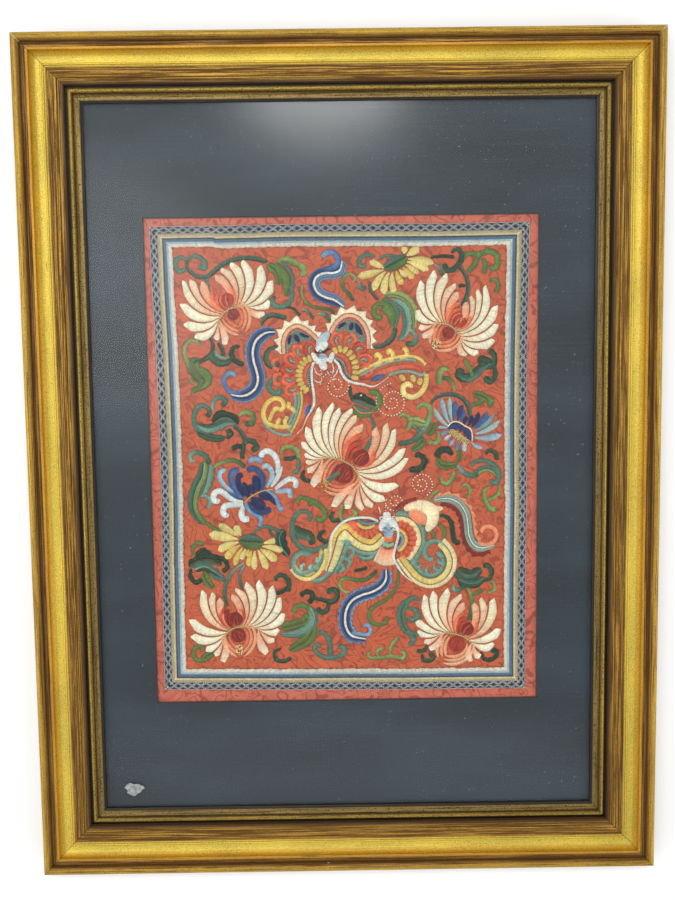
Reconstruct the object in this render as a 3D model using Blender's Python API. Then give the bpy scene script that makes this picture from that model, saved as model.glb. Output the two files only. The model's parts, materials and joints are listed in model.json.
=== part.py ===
"""Framed silk embroidery panel, lying on its back.

The origin is the centre of the back face. +X runs along the short sides' width, +Y up the
picture and +Z out of its face. A section is drawn in (inward, height): how far a point lies
inside the outer edge of its member, and how high above the back face.
"""

import math

import bmesh
import bpy
from mathutils import Vector

MM = 0.001

# Whole panel
PANEL_WIDTH = 560 * MM
PANEL_HEIGHT = 748 * MM
CLEARANCE = 0.3 * MM

# Gilt moulding
RAIL_WIDTH = 42 * MM
OUTER_WALL_HEIGHT = 26 * MM
TORUS_WIDTH = 8 * MM
TORUS_RISE = 4.5 * MM
GROOVE_WIDTH = 4.2 * MM
GROOVE_HEIGHT = 25.2 * MM
FILLET_WIDTH = 2.4 * MM
FILLET_HEIGHT = 26.8 * MM
COVE_WIDTH = 9.5 * MM
COVE_FOOT_HEIGHT = 20.6 * MM
BEAD_WIDTH = 1.9 * MM
BEAD_RISE = 0.9 * MM
BAND_OUTER_HEIGHT = 20.4 * MM
BAND_INNER_HEIGHT = 18.8 * MM
QUIRK_INWARD = 36.4 * MM
QUIRK_WIDTH = 1.2 * MM
QUIRK_DEPTH = 0.8 * MM
REBATE_INWARD = 34 * MM
REBATE_HEIGHT = 14.5 * MM

# Slip, the small moulding that lies on the glass
STACK_INWARD = 34.5 * MM
SLIP_SIGHT_INWARD = 56 * MM
SLIP_BEAD_INWARD = 44.3 * MM
SLIP_BEAD_WIDTH = 4.4 * MM
SLIP_BEAD_HEIGHT = 14.8 * MM
SLIP_COVE_WIDTH = 4.2 * MM
SLIP_COVE_HEIGHT = 12.9 * MM
SLIP_FILLET_WIDTH = 1.2 * MM
SLIP_FILLET_RISE = 0.4 * MM
SLIP_LIP_HEIGHT = 12.3 * MM

# Layers behind the slip, counted up from the back face
BACKING_BOTTOM = 1 * MM
BACKING_THICKNESS = 3 * MM
CLOTH_THICKNESS = 1 * MM
TRIM_THICKNESS = 1 * MM
MAT_THICKNESS = 2.7 * MM
GLASS_THICKNESS = 2 * MM
CLOTH_BOTTOM = BACKING_BOTTOM + BACKING_THICKNESS + CLEARANCE
TRIM_BOTTOM = CLOTH_BOTTOM + CLOTH_THICKNESS + CLEARANCE
MAT_BOTTOM = TRIM_BOTTOM
GLASS_BOTTOM = MAT_BOTTOM + MAT_THICKNESS + CLEARANCE
SLIP_BOTTOM = GLASS_BOTTOM + GLASS_THICKNESS + CLEARANCE
SLIP_SHELF_HEIGHT = REBATE_HEIGHT - CLEARANCE

# Mat window and the cloth under it
WINDOW_WIDTH = 350 * MM
WINDOW_HEIGHT = 440 * MM
WINDOW_ROUND = 0.9 * MM
CLOTH_TUCK = 12 * MM

# Bands sewn on the cloth, from the outside in: name, width
TRIM_WIDTHS = {"ribbon": 6.4 * MM, "braid": 3.6 * MM, "band": 8.4 * MM}
TRIM_OUTER_WIDTH = 334.6 * MM
TRIM_OUTER_HEIGHT = 423.2 * MM
TRIM_STEPS = 24
WANDER_START = 25 * MM
WANDER_FADE = 60 * MM

# Each side of a rectangle: its turn, which of the two lengths it runs along, how far its
# sewn bands stray from straight, and how many times they sway on the way
SIDES = {
    "bottom": {"turn": 0, "along": "width", "stray": 0.25 * MM, "sways": 2},
    "right": {"turn": 90, "along": "height", "stray": -0.40 * MM, "sways": 1},
    "top": {"turn": 180, "along": "width", "stray": -0.55 * MM, "sways": 1},
    "left": {"turn": 270, "along": "height", "stray": 0.35 * MM, "sways": 3},
}

# Colour, roughness and metallic value
MATERIALS = {
    "gilt_wood": ((0.55, 0.33, 0.07), 0.38, 0.75),
    "speckled_gilt": ((0.34, 0.20, 0.05), 0.50, 0.60),
    "glass": ((0.90, 0.95, 0.93), 0.04, 0.0),
    "mat_silk": ((0.055, 0.070, 0.085), 0.62, 0.0),
    "silk_damask": ((0.55, 0.10, 0.065), 0.50, 0.0),
    "lattice_ribbon": ((0.12, 0.15, 0.24), 0.60, 0.0),
    "cream_braid": ((0.70, 0.62, 0.36), 0.60, 0.0),
    "blue_silk": ((0.22, 0.36, 0.50), 0.50, 0.0),
    "backing_board": ((0.30, 0.20, 0.12), 0.85, 0.0),
}


def clear_scene():
    """Remove every object and leftover mesh."""
    for item in list(bpy.data.objects):
        bpy.data.objects.remove(item, do_unlink=True)
    for mesh in list(bpy.data.meshes):
        bpy.data.meshes.remove(mesh)


def make_material(name):
    """A Principled material from its row in MATERIALS."""
    colour, roughness, metallic = MATERIALS[name]
    material = bpy.data.materials.new(name)
    material.use_nodes = True
    shader = material.node_tree.nodes["Principled BSDF"]
    shader.inputs["Base Color"].default_value = (*colour, 1.0)
    shader.inputs["Roughness"].default_value = roughness
    shader.inputs["Metallic"].default_value = metallic
    material.diffuse_color = (*colour, 1.0)
    return material


def add_object(name, bm, material, parent, location=(0, 0, 0), turn=0):
    """Turn a bmesh into a named, placed object."""
    bmesh.ops.recalc_face_normals(bm, faces=bm.faces)
    mesh = bpy.data.meshes.new(name)
    bm.to_mesh(mesh)
    bm.free()
    mesh.materials.append(material)
    mesh.shade_smooth()
    mesh.set_sharp_from_angle(angle=math.radians(30))
    item = bpy.data.objects.new(name, mesh)
    bpy.context.scene.collection.objects.link(item)
    item.parent = parent
    item.location = location
    item.rotation_euler = (0, 0, math.radians(turn))
    return item


def arc(centre, reach, rise, start, end, steps):
    """Points along part of an ellipse, from one angle to another in degrees."""
    points = []
    for step in range(steps + 1):
        angle = math.radians(start + (end - start) * step / steps)
        inward = centre[0] + reach * math.cos(angle)
        height = centre[1] + rise * math.sin(angle)
        points.append((inward, height))
    return points


def crown(start, width, height, rise, steps):
    """A rounded member that rises from one edge and comes down at the other."""
    return arc((start + width / 2, height), width / 2, rise, 180, 0, steps)


def rail_section():
    """The gilt moulding's section, from its outer back corner round to its rebate."""
    groove = TORUS_WIDTH + GROOVE_WIDTH
    fillet = groove + FILLET_WIDTH
    cove = fillet + COVE_WIDTH
    beads = cove + 2 * BEAD_WIDTH
    slope = (BAND_INNER_HEIGHT - BAND_OUTER_HEIGHT) / (RAIL_WIDTH - beads)

    def band_height(inward):
        return BAND_OUTER_HEIGHT + slope * (inward - beads)

    points = [(0, 0)]
    points += crown(0, TORUS_WIDTH, OUTER_WALL_HEIGHT, TORUS_RISE, 8)
    points += [(TORUS_WIDTH, GROOVE_HEIGHT), (groove, GROOVE_HEIGHT)]
    points += [(groove, FILLET_HEIGHT)]
    drop = FILLET_HEIGHT - COVE_FOOT_HEIGHT
    points += arc((cove, FILLET_HEIGHT), COVE_WIDTH, drop, 180, 270, 6)
    points += crown(cove, BEAD_WIDTH, COVE_FOOT_HEIGHT, BEAD_RISE, 4)[1:]
    points += crown(cove + BEAD_WIDTH, BEAD_WIDTH, COVE_FOOT_HEIGHT, BEAD_RISE, 4)[1:]
    points += [(beads, BAND_OUTER_HEIGHT)]
    for offset, depth in ((-0.5, 0), (0, QUIRK_DEPTH), (0.5, 0)):
        inward = QUIRK_INWARD + offset * QUIRK_WIDTH
        points += [(inward, band_height(inward) - depth)]
    points += [(RAIL_WIDTH, BAND_INNER_HEIGHT), (RAIL_WIDTH, REBATE_HEIGHT)]
    points += [(REBATE_INWARD, REBATE_HEIGHT), (REBATE_INWARD, 0)]
    return points


def slip_section():
    """The slip's section, from its outer back corner round to its sight edge."""
    bead_end = SLIP_BEAD_INWARD + SLIP_BEAD_WIDTH
    cove_end = bead_end + SLIP_COVE_WIDTH
    fillet_end = cove_end + SLIP_FILLET_WIDTH
    fillet_height = SLIP_COVE_HEIGHT + SLIP_FILLET_RISE
    points = [(STACK_INWARD, SLIP_BOTTOM), (STACK_INWARD, SLIP_SHELF_HEIGHT)]
    points += [(SLIP_BEAD_INWARD, SLIP_SHELF_HEIGHT)]
    points += crown(SLIP_BEAD_INWARD, SLIP_BEAD_WIDTH, SLIP_BEAD_HEIGHT, SLIP_BEAD_WIDTH / 2, 8)
    drop = SLIP_BEAD_HEIGHT - SLIP_COVE_HEIGHT
    points += arc((cove_end, SLIP_BEAD_HEIGHT), SLIP_COVE_WIDTH, drop, 180, 270, 4)[1:]
    points += [(cove_end, fillet_height), (fillet_end, fillet_height)]
    points += [(fillet_end, SLIP_COVE_HEIGHT), (SLIP_SIGHT_INWARD, SLIP_LIP_HEIGHT)]
    points += [(SLIP_SIGHT_INWARD, SLIP_BOTTOM)]
    return points


def mitred_bar(section, length):
    """A section run along X between two mitred ends, with its outer edge on y = 0."""
    bm = bmesh.new()
    corners = [bm.verts.new((0, inward, height)) for inward, height in section]
    start = bm.faces.new(corners)
    grown = bmesh.ops.extrude_face_region(bm, geom=[start], use_keep_orig=True)
    far_end = {item for item in grown["geom"] if isinstance(item, bmesh.types.BMVert)}
    setback = CLEARANCE / 2 * math.sqrt(2)
    for vertex in bm.verts:
        reach = length / 2 - vertex.co.y - setback
        vertex.co.x = reach if vertex in far_end else -reach
    return bm


def side_length(side, width, height):
    """The length of one side of a rectangle."""
    return width if SIDES[side]["along"] == "width" else height


def side_location(side, width, height):
    """The middle of one side of a rectangle that is centred on the origin."""
    turn = math.radians(SIDES[side]["turn"])
    reach = height / 2 if SIDES[side]["along"] == "width" else width / 2
    return (math.sin(turn) * reach, -math.cos(turn) * reach, 0)


def stray(side, along, half_length):
    """How far a side's sewn bands lie off their straight line, at a place along it."""
    fade = (half_length - WANDER_START - abs(along)) / WANDER_FADE
    fade = min(max(fade, 0), 1)
    ease = fade * fade * (3 - 2 * fade)
    phase = math.pi * SIDES[side]["sways"] * (along / half_length + 1) / 2
    return SIDES[side]["stray"] * ease * math.sin(phase)


def sewn_strip(side, near, far, length):
    """A thin strip between two distances inside the bands' outer line, mitred at its ends."""
    bm = bmesh.new()
    half = length / 2
    setback = CLEARANCE / 2 * math.sqrt(2)
    rows = []
    for inward in (near, far):
        reach = half - inward - setback
        row = []
        for step in range(TRIM_STEPS + 1):
            along = reach * (2 * step / TRIM_STEPS - 1)
            offset = inward + stray(side, along, half)
            row.append(bm.verts.new((along, offset, TRIM_BOTTOM)))
        rows.append(row)
    for step in range(TRIM_STEPS):
        outer, inner = rows
        bm.faces.new((outer[step], outer[step + 1], inner[step + 1], inner[step]))
    grown = bmesh.ops.extrude_face_region(bm, geom=list(bm.faces), use_keep_orig=True)
    top = [item for item in grown["geom"] if isinstance(item, bmesh.types.BMVert)]
    bmesh.ops.translate(bm, verts=top, vec=Vector((0, 0, TRIM_THICKNESS)))
    return bm


def plate(width, height, bottom, thickness):
    """A flat rectangular sheet or board."""
    bm = bmesh.new()
    bmesh.ops.create_cube(bm, size=1)
    bmesh.ops.scale(bm, verts=bm.verts, vec=Vector((width, height, thickness)))
    bmesh.ops.translate(bm, verts=bm.verts, vec=Vector((0, 0, bottom + thickness / 2)))
    return bm


def mat_board(width, height):
    """The mat with its window, the window's upper edge rounded by its silk."""
    bm = bmesh.new()
    columns = (-width / 2, -WINDOW_WIDTH / 2, WINDOW_WIDTH / 2, width / 2)
    rows = (-height / 2, -WINDOW_HEIGHT / 2, WINDOW_HEIGHT / 2, height / 2)
    bmesh.ops.create_grid(bm, x_segments=3, y_segments=3, size=1.5)
    for vertex in bm.verts:
        vertex.co.x = columns[round(vertex.co.x + 1.5)]
        vertex.co.y = rows[round(vertex.co.y + 1.5)]
        vertex.co.z = MAT_BOTTOM
    window = [face for face in bm.faces if face.calc_center_median().length < WINDOW_WIDTH / 4]
    bmesh.ops.delete(bm, geom=window, context="FACES_ONLY")
    grown = bmesh.ops.extrude_face_region(bm, geom=list(bm.faces), use_keep_orig=True)
    top = [item for item in grown["geom"] if isinstance(item, bmesh.types.BMVert)]
    bmesh.ops.translate(bm, verts=top, vec=Vector((0, 0, MAT_THICKNESS)))
    rim = [edge for edge in bm.edges if is_window_rim(edge)]
    bmesh.ops.bevel(
        bm, geom=rim, offset=WINDOW_ROUND, segments=3, profile=0.5, affect="EDGES"
    )
    return bm


def is_window_rim(edge):
    """True for the four edges round the window on the mat's upper face."""
    for vertex in edge.verts:
        on_window = abs(vertex.co.x) <= WINDOW_WIDTH / 2 and abs(vertex.co.y) <= WINDOW_HEIGHT / 2
        if not on_window or vertex.co.z <= MAT_BOTTOM:
            return False
    return True


def build_mouldings(materials, parent):
    """The four rails and the four slips inside them."""
    for side, row in SIDES.items():
        length = side_length(side, PANEL_WIDTH, PANEL_HEIGHT)
        location = side_location(side, PANEL_WIDTH, PANEL_HEIGHT)
        rail = mitred_bar(rail_section(), length)
        add_object(f"rail_{side}", rail, materials["gilt_wood"], parent, location, row["turn"])
        slip = mitred_bar(slip_section(), length)
        add_object(f"slip_{side}", slip, materials["speckled_gilt"], parent, location, row["turn"])


def build_layers(materials, parent):
    """The flat pieces that lie in the rebate, from the back up."""
    width = PANEL_WIDTH - 2 * STACK_INWARD
    height = PANEL_HEIGHT - 2 * STACK_INWARD
    backing = plate(width, height, BACKING_BOTTOM, BACKING_THICKNESS)
    add_object("backing", backing, materials["backing_board"], parent)
    cloth_width = WINDOW_WIDTH + 2 * CLOTH_TUCK
    cloth_height = WINDOW_HEIGHT + 2 * CLOTH_TUCK
    cloth = plate(cloth_width, cloth_height, CLOTH_BOTTOM, CLOTH_THICKNESS)
    add_object("cloth", cloth, materials["silk_damask"], parent)
    add_object("mat", mat_board(width, height), materials["mat_silk"], parent)
    glass = plate(width, height, GLASS_BOTTOM, GLASS_THICKNESS)
    add_object("glass", glass, materials["glass"], parent)


def build_trims(materials, parent):
    """The ribbon, the braid and the shaded band, a strip along each side."""
    finishes = {"ribbon": "lattice_ribbon", "braid": "cream_braid", "band": "blue_silk"}
    near = 0
    for trim, width in TRIM_WIDTHS.items():
        for side, row in SIDES.items():
            length = side_length(side, TRIM_OUTER_WIDTH, TRIM_OUTER_HEIGHT)
            location = side_location(side, TRIM_OUTER_WIDTH, TRIM_OUTER_HEIGHT)
            strip = sewn_strip(side, near, near + width, length)
            material = materials[finishes[trim]]
            add_object(f"{trim}_{side}", strip, material, parent, location, row["turn"])
        near += width + CLEARANCE


def main():
    """Build the whole panel."""
    clear_scene()
    panel = bpy.data.objects.new("panel", None)
    bpy.context.scene.collection.objects.link(panel)
    materials = {name: make_material(name) for name in MATERIALS}
    build_mouldings(materials, panel)
    build_layers(materials, panel)
    build_trims(materials, panel)


main()
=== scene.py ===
import json
import logging
import math
from dataclasses import dataclass, field
from enum import Enum
from itertools import accumulate
from typing import Callable, Sequence, Union

import bmesh
import bpy
import numpy as np
from mathutils import Matrix, Vector

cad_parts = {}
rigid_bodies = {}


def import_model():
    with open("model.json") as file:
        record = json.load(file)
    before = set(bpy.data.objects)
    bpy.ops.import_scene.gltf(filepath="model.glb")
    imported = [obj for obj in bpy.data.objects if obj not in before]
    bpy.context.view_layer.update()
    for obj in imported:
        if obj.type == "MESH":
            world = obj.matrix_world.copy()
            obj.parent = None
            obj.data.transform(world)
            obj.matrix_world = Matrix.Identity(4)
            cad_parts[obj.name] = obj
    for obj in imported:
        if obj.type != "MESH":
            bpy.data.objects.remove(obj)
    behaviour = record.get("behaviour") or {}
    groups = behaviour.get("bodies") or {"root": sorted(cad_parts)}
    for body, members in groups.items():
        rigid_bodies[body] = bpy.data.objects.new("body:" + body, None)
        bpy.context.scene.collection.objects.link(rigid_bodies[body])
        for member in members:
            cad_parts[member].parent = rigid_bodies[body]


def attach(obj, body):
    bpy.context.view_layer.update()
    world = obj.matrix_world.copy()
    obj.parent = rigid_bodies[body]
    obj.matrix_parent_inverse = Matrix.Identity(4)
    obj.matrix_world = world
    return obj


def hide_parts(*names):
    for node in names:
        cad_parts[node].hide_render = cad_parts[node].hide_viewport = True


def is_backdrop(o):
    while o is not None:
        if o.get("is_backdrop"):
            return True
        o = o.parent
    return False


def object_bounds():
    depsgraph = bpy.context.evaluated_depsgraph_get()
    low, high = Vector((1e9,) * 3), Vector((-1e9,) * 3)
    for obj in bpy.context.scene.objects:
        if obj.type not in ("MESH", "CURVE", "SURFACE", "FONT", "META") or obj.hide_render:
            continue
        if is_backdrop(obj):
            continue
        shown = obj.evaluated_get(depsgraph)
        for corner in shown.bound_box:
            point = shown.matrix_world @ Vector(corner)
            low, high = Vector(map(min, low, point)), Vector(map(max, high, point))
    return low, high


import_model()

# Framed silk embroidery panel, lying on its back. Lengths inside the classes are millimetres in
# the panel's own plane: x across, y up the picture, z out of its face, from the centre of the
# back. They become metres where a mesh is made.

MM = 0.001  # a millimetre, in metres
CLOTH_TOP = 5.08  # the height that the embroidery stands on
LOG = logging.getLogger("panel")
SIDES = {"bottom": 0, "right": 90, "top": 180, "left": 270}
Offset = Union[float, Callable[[np.ndarray], np.ndarray]]


def linear(red: float, green: float, blue: float) -> tuple[float, float, float]:
    """A display colour of 0 to 255 as a scene-linear one.

    Args:
        red, green, blue: the display values.

    Returns:
        The three linear values.
    """
    parts = np.array([red, green, blue]) / 255.0
    low = parts / 12.92
    high = ((parts + 0.055) / 1.055) ** 2.4
    return tuple(float(value) for value in np.where(parts <= 0.04045, low, high))


def opaque(colour: Sequence[float]) -> tuple[float, ...]:
    """A display colour of 0 to 255 as a scene-linear one with full alpha."""
    return (*linear(*colour), 1.0)


class Thread(Enum):
    """The dyed silks, as display colours."""

    IVORY = (252, 243, 214)
    CREAM = (248, 228, 188)
    BLUSH = (248, 198, 164)
    PEACH = (246, 172, 128)
    CORAL = (234, 122, 82)
    ORANGE = (218, 84, 44)
    RED = (178, 50, 36)
    CRIMSON = (138, 32, 24)
    GOLD = (206, 176, 110)
    YELLOW = (240, 212, 116)
    STRAW = (238, 224, 156)
    OCHRE = (216, 182, 84)
    LIME = (156, 174, 104)
    MOSS = (98, 124, 58)
    FOREST = (30, 60, 36)
    PINE = (52, 92, 62)
    TEAL = (84, 122, 102)
    AQUA = (138, 174, 156)
    MINT = (168, 204, 184)
    SAGE = (148, 168, 150)
    NAVY = (20, 38, 90)
    ROYAL = (50, 78, 134)
    BLUE = (86, 120, 168)
    SKY = (128, 160, 190)
    ICE = (192, 210, 214)
    WHITE = (238, 238, 228)
    BLACK = (34, 34, 38)
    INK = (16, 24, 42)
    FROST = (196, 220, 226)
    LINEN = (230, 216, 196)
    DUSK = (38, 48, 76)
    MIST = (150, 186, 204)
    SLATE = (72, 88, 104)
    STEEL = (92, 122, 152)
    PEARL = (228, 226, 214)
    BRASS = (204, 186, 140)
    FLAX = (236, 226, 180)

    @property
    def colour(self) -> np.ndarray:
        """The scene-linear colour."""
        return np.array(linear(*self.value))


Tint = Union[Thread, Sequence[Thread]]


# ---------------------------------------------------------------- meshes and node trees


def wear(item: bpy.types.Object, material: bpy.types.Material) -> None:
    """Put a piece on the panel's one body, in its finish.

    Args:
        item: the piece.
        material: its material.
    """
    item.data.materials.clear()
    item.data.materials.append(material)
    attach(item, "root")
    LOG.info("%s: %d faces", item.name, len(item.data.polygons))


def link(name: str, bm: bmesh.types.BMesh, angle: float = 35.0) -> bpy.types.Object:
    """Turn a bmesh in metres into a linked, smooth-shaded object.

    Args:
        name: the piece's name.
        bm: the mesh, which is freed.
        angle: edges sharper than this stay sharp, in degrees.

    Returns:
        The object, at the origin.
    """
    mesh = bpy.data.meshes.new(name)
    bm.to_mesh(mesh)
    bm.free()
    mesh.shade_smooth()
    mesh.set_sharp_from_angle(angle=math.radians(angle))
    item = bpy.data.objects.new(name, mesh)
    bpy.context.scene.collection.objects.link(item)
    return item


class Graph:
    """A small hand for wiring one material's nodes."""

    def __init__(self, name: str) -> None:
        """Start a material with its Principled shader and output."""
        self.material = bpy.data.materials.new(name)
        self.material.use_nodes = True
        self.tree = self.material.node_tree
        self.shader = self.tree.nodes["Principled BSDF"]
        self.output = self.tree.nodes["Material Output"]

    def put(self, socket: bpy.types.NodeSocket, value) -> None:
        """Link or set one input socket."""
        if isinstance(value, bpy.types.NodeSocket):
            self.tree.links.new(value, socket)
        else:
            socket.default_value = value

    def node(self, kind: str, settings: dict, inputs: dict, output=0) -> bpy.types.NodeSocket:
        """Add a node.

        Args:
            kind: the node's type, without its ShaderNode prefix.
            settings: attributes to set on it.
            inputs: sockets or values, by socket name or number.
            output: the name or number of the output to return.

        Returns:
            The output socket.
        """
        made = self.tree.nodes.new(f"ShaderNode{kind}")
        for key, value in settings.items():
            setattr(made, key, value)
        for key, value in inputs.items():
            self.put(made.inputs[key], value)
        return made.outputs[output]

    def maths(self, operation: str, first, second=0.0, third=0.0) -> bpy.types.NodeSocket:
        """A Math node's result."""
        return self.node("Math", {"operation": operation}, {0: first, 1: second, 2: third})

    def mix(self, share, first, second) -> bpy.types.NodeSocket:
        """A blend of two colours."""
        return self.node("Mix", {"data_type": "RGBA"}, {0: share, 6: first, 7: second}, output=2)

    def multiply(self, first, second) -> bpy.types.NodeSocket:
        """The product of two colours."""
        settings = {"data_type": "RGBA", "blend_type": "MULTIPLY"}
        return self.node("Mix", settings, {0: 1.0, 6: first, 7: second}, output=2)

    def toned(self, colour, tone) -> bpy.types.NodeSocket:
        """A colour made darker or lighter by one value."""
        grey = self.node("CombineColor", {}, {0: tone, 1: tone, 2: tone})
        return self.multiply(colour, grey)

    def limit(self, value, high: float = 1.0) -> bpy.types.NodeSocket:
        """A value kept between 0 and another."""
        return self.node("Clamp", {}, {0: value, 1: 0.0, 2: high})

    def ramp(self, value, stops: Sequence[tuple], blend: str = "LINEAR") -> bpy.types.NodeSocket:
        """A colour ramp; each stop is (position, red, green, blue), linear."""
        made = self.tree.nodes.new("ShaderNodeValToRGB")
        made.color_ramp.interpolation = blend
        points = made.color_ramp.elements
        while len(points) < len(stops):
            points.new(0.5)
        for point, stop in zip(points, stops):
            point.position = stop[0]
            point.color = (*stop[1:], 1.0)
        self.put(made.inputs[0], value)
        return made.outputs[0]

    def step(self, value, *stops: tuple[float, float]) -> bpy.types.NodeSocket:
        """A grey ramp; each stop is (position, level)."""
        return self.ramp(value, [(place, level, level, level) for place, level in stops])

    def noise(self, vector, scale: float, detail: float = 2.0, warp: float = 0.0):
        """A noise value that reads a vector."""
        inputs = {"Vector": vector, "Scale": scale, "Detail": detail, "Distortion": warp}
        return self.node("TexNoise", {}, inputs)

    def grain(self, vector, scale: Sequence[float], detail: float = 2.0, warp: float = 0.0):
        """Noise with a scale of its own along each axis."""
        return self.noise(self.stretch(vector, scale), 1.0, detail, warp)

    def coords(self, kind: str) -> bpy.types.NodeSocket:
        """Object or UV coordinates."""
        return self.node("TexCoord", {}, {}, output=kind)

    def stretch(self, vector, scale: Sequence[float]) -> bpy.types.NodeSocket:
        """A vector scaled along each axis."""
        return self.node("Mapping", {}, {"Vector": vector, "Scale": tuple(scale)})

    def bump(self, height, strength: float, depth: float) -> None:
        """Bend the shader's normal by a height; depth, in metres, is how far 1 stands out."""
        inputs = {"Height": height, "Strength": strength, "Distance": depth}
        self.put(self.shader.inputs["Normal"], self.node("Bump", {}, inputs))

    def finish(self, **inputs) -> bpy.types.Material:
        """Set the shader's inputs, spaces written as underscores, and return the material."""
        for key, value in inputs.items():
            self.put(self.shader.inputs[key.replace("_", " ")], value)
        return self.material


# ---------------------------------------------------------------- finishes


@dataclass(frozen=True)
class Member:
    """One member of a moulding's section, for its colour.

    Attributes:
        until: where it ends, in millimetres of the section's developed length.
        colour: its display colour.
        worn: how far brown streaks cover it, 0 to 1.
    """

    until: float
    colour: tuple[float, float, float]
    worn: float


@dataclass(frozen=True)
class Gilding:
    """Gold over brown, in streaks along a moulding.

    It reads the UV map: metres along the moulding, and metres round its section.

    Attributes:
        members: the members of the section, in order.
        girth: the whole developed length of the section, in millimetres.
        under: the brown under the gold.
        speck: the colour of the dark specks.
        speckle: how strongly the specks show.
        dotted: the noise level over which a speck shows.
        metallic, roughness: those of clean gold.
        marks: chips and smears on its face: each one's x, y, radius and colour.
        face: the height of the marks.
    """

    members: tuple[Member, ...]
    girth: float
    under: tuple[float, float, float] = (74, 42, 12)
    speck: tuple[float, float, float] = (40, 26, 12)
    speckle: float = 0.5
    dotted: float = 0.635
    metallic: float = 0.45
    roughness: float = 0.46
    marks: tuple[tuple[float, float, float, tuple[float, float, float]], ...] = ()
    face: float = 27.0

    def zones(self, pick: Callable[[Member], tuple]) -> list[tuple]:
        """Ramp stops round the section, one where each member starts."""
        stops = []
        start = 0.0
        for member in self.members:
            stops.append((min(start / self.girth, 1.0), *pick(member)))
            start = member.until
        return stops

    def developed(self, graph: Graph, uv: bpy.types.NodeSocket) -> bpy.types.NodeSocket:
        """How far round the section a point is, as a share that sways a little along the rail."""
        place = graph.node("SeparateXYZ", {}, {0: uv}, output=1)
        share = graph.maths("MULTIPLY", place, 1.0 / (self.girth * MM))
        sway = graph.maths("MULTIPLY_ADD", graph.grain(uv, (14, 90, 1)), 0.012, -0.006)
        return graph.maths("ADD", share, sway)

    def tone(self, graph: Graph, uv: bpy.types.NodeSocket) -> bpy.types.NodeSocket:
        """How bright the gold is: broad patches, and a fine stipple over them."""
        patchy = graph.maths("MULTIPLY_ADD", graph.grain(uv, (16, 40, 1), 3.0), 0.55, -0.14)
        stipple = graph.noise(graph.coords("Object"), 1300.0)
        return graph.maths("MULTIPLY_ADD", stipple, 1.26, patchy)

    def marked(self, graph: Graph, colour: bpy.types.NodeSocket) -> bpy.types.NodeSocket:
        """A colour with the marks over it, each with a ragged edge."""
        place = graph.coords("Object")
        for x, y, radius, paint in self.marks:
            spot = graph.node("VectorMath", {"operation": "DISTANCE"},
                              {0: place, 1: (x * MM, y * MM, self.face * MM)}, output=1)
            ragged = graph.maths("MULTIPLY_ADD", graph.noise(place, 700.0), 2.5 * MM, spot)
            colour = graph.mix(graph.maths("LESS_THAN", ragged, radius * MM), colour, opaque(paint))
        return colour

    def material(self, name: str) -> bpy.types.Material:
        """Build the node material."""
        graph = Graph(name)
        uv = graph.coords("UV")
        where = self.developed(graph, uv)
        gold = graph.ramp(where, self.zones(lambda m: linear(*m.colour)))
        worn = graph.ramp(where, self.zones(lambda m: (m.worn, m.worn, m.worn)), "CONSTANT")

        # brown streaks show where their noise rises over a level that wear brings down
        streaks = graph.grain(uv, (14, 1150, 1), 4.0, 0.5)
        streaks = graph.maths("MULTIPLY_ADD", graph.grain(uv, (70, 3000, 1), 3.0), 0.35, streaks)
        level = graph.maths("MULTIPLY_ADD", worn, -0.345, 0.90)
        cover = graph.maths("MULTIPLY", graph.maths("SUBTRACT", streaks, level), 9.0)
        cover = graph.limit(cover, high=0.88)

        specks = graph.noise(graph.coords("Object"), 900.0, 3.0)
        dots = graph.maths("GREATER_THAN", specks, self.dotted)
        dots = graph.maths("MULTIPLY", dots, self.speckle)
        colour = graph.mix(cover, graph.toned(gold, self.tone(graph, uv)), opaque(self.under))
        colour = self.marked(graph, graph.mix(dots, colour, opaque(self.speck)))
        relief = graph.maths("MULTIPLY_ADD", streaks, 0.8, graph.maths("MULTIPLY", specks, 0.35))
        graph.bump(relief, 0.5, 0.35 * MM)
        return graph.finish(Base_Color=colour,
                            Roughness=graph.maths("MULTIPLY_ADD", cover, 0.30, self.roughness),
                            Metallic=graph.maths("MULTIPLY_ADD", cover, -0.5, self.metallic),
                            Specular_IOR_Level=graph.maths("MULTIPLY_ADD", cover, -0.35, 0.5))


@dataclass(frozen=True)
class MatSilk:
    """Slubby dark silk: short thick threads across it, and darker clouds.

    Attributes:
        ground: its colour.
        dark: the clouds' colour.
        slub: the thick threads' colour.
    """

    ground: tuple[float, float, float] = (29, 45, 55)
    dark: tuple[float, float, float] = (13, 26, 35)
    slub: tuple[float, float, float] = (48, 64, 75)

    def material(self, name: str) -> bpy.types.Material:
        """Build the node material."""
        graph = Graph(name)
        place = graph.coords("Object")
        slubs = graph.grain(place, (9, 620, 1), 3.0, 0.3)
        threads = graph.grain(place, (160, 2600, 1), 2.0)
        warp = graph.grain(place, (2400, 120, 1), 2.0)
        cloud = graph.grain(place, (5, 14, 1), 3.0)
        body = graph.ramp(cloud, [(0.38, *linear(*self.dark)), (0.60, *linear(*self.ground))])
        raised = graph.step(slubs, (0.56, 0), (0.78, 1))
        colour = graph.mix(graph.maths("MULTIPLY", raised, 0.45), body, opaque(self.slub))
        weave = graph.maths("ADD", threads, warp)
        tone = graph.maths("MULTIPLY_ADD", weave, 0.28, 0.72)
        colour = graph.toned(colour, tone)
        height = graph.maths("MULTIPLY_ADD", slubs, 1.5, weave)
        graph.bump(height, 0.3, 0.15 * MM)
        return graph.finish(Base_Color=colour, Roughness=0.58, Sheen_Weight=0.25,
                            Sheen_Roughness=0.4)


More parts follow.
